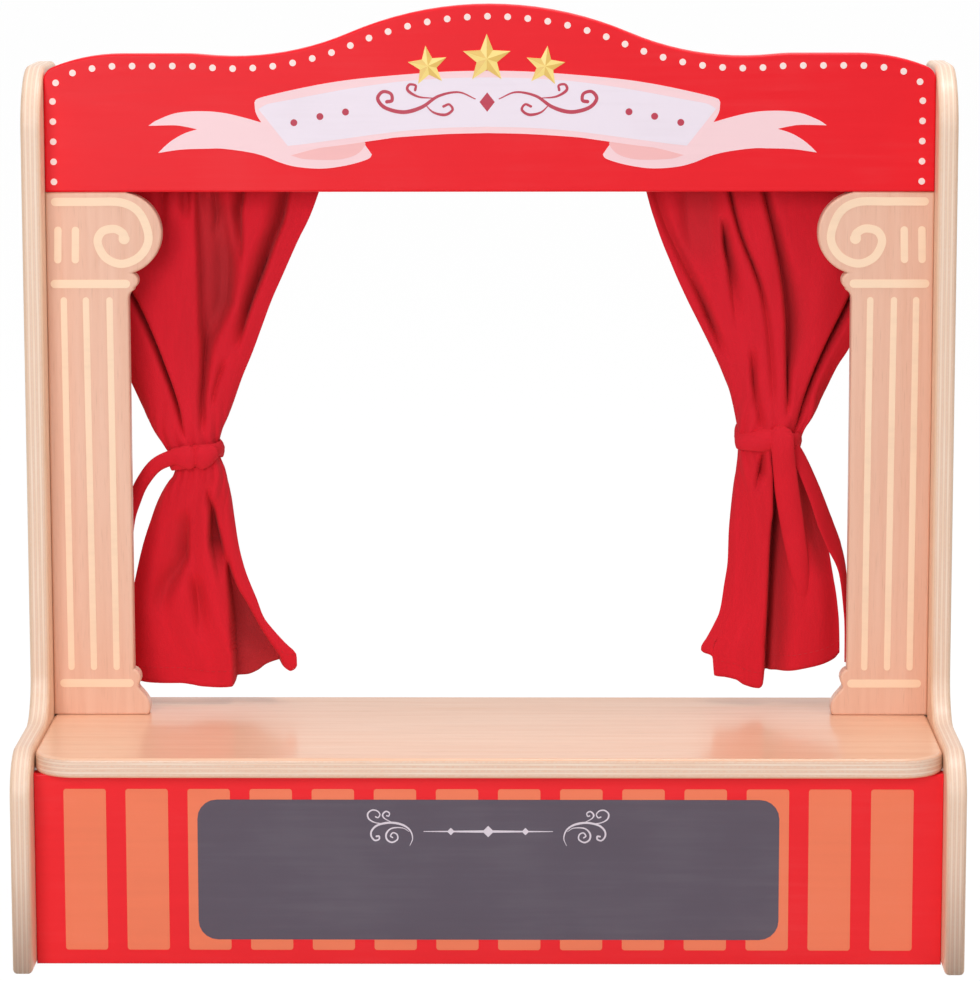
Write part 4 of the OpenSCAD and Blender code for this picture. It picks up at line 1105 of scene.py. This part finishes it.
tie_velour = velour_finish("tie_velour")
front = (0, -1, 0)
left_straps = [
    waist_band(-181.0, 285.4, 15.0, 13.0, 3.2, 13.6),
    tail([(-178, 40, 286), (-180.2, 37, 285.4), (-184, 34.2, 285), (-189, 34.6, 285.2), (-195.4, 37.2, 284.4),
          (-206, 41, 278.9), (-214.6, 44.6, 267.6), (-219.6, 47.4, 256), (-223.4, 49.4, 243), (-225, 50, 222),
          (-225, 50, 190), (-224.4, 50, 147)],
         [6, 11, 15, 13.6, 9.8, 9.0, 8.3, 8.2, 8.6, 10, 11, 10],
         [(0.8, -1, 0), (0.4, -1, 0), front, front, front, front, (0.1, -1, 0), (0.2, -1, 0), (0.5, -1, 0),
          (1, -0.7, 0), (1, -0.3, 0), (1, -0.3, 0)], thick=2.4, bow=2.4),
    tail([(-184.4, 40, 285.6), (-182, 37, 285.2), (-177.4, 34.4, 285.2), (-172.6, 35.8, 286.4),
          (-168.4, 39.4, 288)],
         [6, 11, 15.4, 13.4, 9.6],
         [(-0.8, -1, 0), (-0.4, -1, 0), front, (0.4, -1, 0), (0.9, -0.8, 0)], thick=2.4, bow=2.4)]
right_straps = [
    waist_band(170.9, 294.8, 18.6, 13.0, -1.6, 14.6),
    tail(lying("right", [
        (177.6, 303.4, -1), (177.8, 302, 1.6), (178.4, 297.6, 3.2), (179.0, 292, 3.6), (179.6, 286, 3.2),
        (180.8, 276, 2.2), (182.6, 262, 2.0), (185.4, 245.6, 1.8), (187.8, 231, 1.6), (189.8, 220, 1.2),
        (191.4, 210, 0.6), (192.6, 201, -0.2), (193.4, 193, -1.8)]),
         [6, 12, 15, 14.4, 13.8, 14.4, 15, 14.8, 14, 13, 11.6, 9.6, 7],
         [(0, -0.4, 1), (0, -1, 0.7), front, front, front, (0, -1, -0.2), (0, -1, -0.2), *[front] * 6],
         thick=2.0, bow=2.0),
    tail([(186, 43, 291), (190.6, 46.4, 282), (195.8, 49, 270.6), (201.4, 51, 257), (206.8, 52.4, 242),
          (212.4, 53, 228), (218.0, 53, 211), (220.6, 52, 182), (221.0, 51, 155)],
         [7, 9, 10.4, 11.4, 12.6, 11.8, 8.4, 8.6, 9],
         [front, (0.5, -1, 0), (0.8, -1, 0), *[(0.9, -1, 0)] * 3, (0.9, -0.6, 0), *[(1, -0.3, 0)] * 2])]
for hand, straps, tie_length in (("left", left_straps, 0.275), ("right", right_straps, 0.385)):
    name = "tie_cloth_" + hand
    tie = belongs(part(name, strap_mesh(name, straps)), tie_velour, "tie_velour", "curtain_tie_" + hand,
                  body=hand + "_curtain")

# Seams. Red thread closes the casing of each curtain below and above the rod, and its hem.
# The stitches are short and even, as from a sewing machine.
stitches, stitches_in, stitches_out = gn_tree("machine_stitches", [
    ("Pitch", "Float"), ("Length", "Float"), ("Thread", "Float")])
seam_line = put(stitches, "GeometryNodeMeshToCurve", ("Mesh", stitches_in.outputs["Seed"]))
seam_steps = put(stitches, "GeometryNodeResampleCurve", ("Curve", seam_line.outputs[0]),
                 ("Length", stitches_in.outputs["Pitch"]), mode="LENGTH")
stitch = put(stitches, "GeometryNodeMeshUVSphere", ("Segments", 6), ("Rings", 5), ("Radius", 0.5))
stitch_size = put(stitches, "ShaderNodeCombineXYZ", (0, stitches_in.outputs["Thread"]),
                  (1, stitches_in.outputs["Thread"]), (2, stitches_in.outputs["Length"]))
tangent = put(stitches, "GeometryNodeInputTangent")
lie = put(stitches, "FunctionNodeAlignRotationToVector", ("Vector", tangent.outputs[0]), axis="Z")
stitch_set = put(stitches, "GeometryNodeInstanceOnPoints", ("Points", seam_steps.outputs[0]),
                 ("Instance", stitch.outputs["Mesh"]), ("Rotation", lie.outputs[0]),
                 ("Scale", stitch_size.outputs[0]))
finish_tree(stitches, stitches_in, stitches_out, stitch_set.outputs[0])
red_thread = paint_finish("red_thread", shade(198, 24, 38), 0.7, 0.3)
thread_lift, unsewn = 0.05, 6
for hand, grid in drapes.items():
    head_rows, cloth = len(grid) - drop_rows, grid[:, :, :3]
    normals = np.cross(np.gradient(cloth, axis=1), np.gradient(cloth, axis=0))
    normals /= np.linalg.norm(normals, axis=2)[:, :, None]
    sewn_rows = (1, 15, head_rows - 13, head_rows + 1, len(cloth) - 5)
    seams = [(cloth[row] + face_side * normals[row] * (cloth_t / 2 + thread_lift))[unsewn:-unsewn] * MM
             for row in sewn_rows for face_side in (1, -1)]
    grown("curtain_stitches_" + hand, stitches, lines_mesh("seam_lines_" + hand, seams), red_thread,
          "curtain_velour", body=hand + "_curtain", Pitch=3.6 * MM, Length=2.5 * MM, Thread=0.35 * MM)

# Fixings. Zinc-plated connector bolts with hexagon sockets go through the sides into barrel nuts
# that lie in holes at the back of each board; beech dowels locate the columns and the panel.
zinc, zinc_tree, zinc_shader = new_finish("zinc_steel", Metallic=1.0)
zinc_place = own_place(zinc_tree)
crystals = noise(zinc_tree, zinc_place, (420, 420, 420), 2.0)
zinc_tree.links.new(mixed(zinc_tree, crystals, shade(176, 178, 182), shade(206, 208, 212)),
                    zinc_shader.inputs["Base Color"])
zinc_tree.links.new(ranged(zinc_tree, crystals, 0.3, 0.7, 0.26, 0.44), zinc_shader.inputs["Roughness"])
roughened(zinc_tree, zinc_shader, noise(zinc_tree, zinc_place, (1400, 1400, 1400), 1.0), 0.03 * MM)

fixings, fixings_in, fixings_out = gn_tree("placed_fixings", [("Fixing", "Object")])
pattern = put(fixings, "GeometryNodeObjectInfo", ("Object", fixings_in.outputs["Fixing"]))
turn = put(fixings, "GeometryNodeInputNamedAttribute", ("Name", "turn"), data_type="FLOAT_VECTOR")
fixing_set = put(fixings, "GeometryNodeInstanceOnPoints", ("Points", fixings_in.outputs["Seed"]),
                 ("Instance", pattern.outputs["Geometry"]), ("Rotation", turn.outputs[0]))
finish_tree(fixings, fixings_in, fixings_out, fixing_set.outputs[0])

bolt = turned("bolt_pattern", [
    (-1.5, TIP), (-1.5, 2.0), (0, 2.05), (0, 3.4), (0, 5.9), (-0.25, 6.35), (-0.7, 6.5), (-2.2, 6.5),
    (-2.2, 2.5), (-40.0, 2.5), (-42.0, 1.7), (-42.0, TIP)], 24, socket=2.06)
nut = turned("nut_pattern", [
    (-1.1, TIP), (-1.1, 1.3), (0, 1.35), (0, 3.6), (-0.4, 4.0), (-9.0, 4.0), (-9.35, 3.6),
    (-9.35, TIP)], 24, socket=1.36)
head_r, nut_r, socket_turn = 6.5 * MM, 4 * MM, 0.3
for row in ("shelf", "front_panel", "header"):
    bolts_node, nuts_node = row + "_bolts", row + "_barrel_nuts"
    (bolt_lo, bolt_hi), (nuts_lo, nuts_hi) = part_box(bolts_node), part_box(nuts_node)
    if row == "shelf":
        places = [(y, (bolt_lo.z + bolt_hi.z) / 2) for y in (bolt_lo.y + head_r, bolt_hi.y - head_r)]
    else:
        places = [((bolt_lo.y + bolt_hi.y) / 2, z) for z in (bolt_lo.z + head_r, bolt_hi.z - head_r)]
    ends = [(hand, y, z) for hand in (-1, 1) for y, z in places]
    seeds = points_mesh(bolts_node, [(hand * bolt_hi.x, y, z) for hand, y, z in ends],
                        [(socket_turn * y / head_r, 0, 0 if hand > 0 else math.pi) for hand, y, z in ends])
    grown(row + "_bolt_set", fixings, seeds, zinc, "zinc_steel", bolts_node, Fixing=bolt)
    nut_x = nuts_hi.x - nut_r
    if row == "shelf":
        nut_spots, nut_turn = [(hand * nut_x, y, nuts_lo.z) for hand, y, z in ends], (0, math.pi / 2, 0)
    else:
        nut_spots, nut_turn = [(hand * nut_x, nuts_hi.y, z) for hand, y, z in ends], (0, 0, math.pi / 2)
    seeds = points_mesh(nuts_node, nut_spots, [nut_turn] * len(nut_spots))
    grown(row + "_nut_set", fixings, seeds, zinc, "zinc_steel", nuts_node, Fixing=nut)
for pattern_piece in (bolt, nut):
    bpy.data.objects.remove(pattern_piece)
for dowels in ("column_top_dowels", "column_base_dowels", "front_panel_dowels"):
    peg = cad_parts[dowels]
    peg.data.materials.clear()
    peg.data.materials.append(beech)
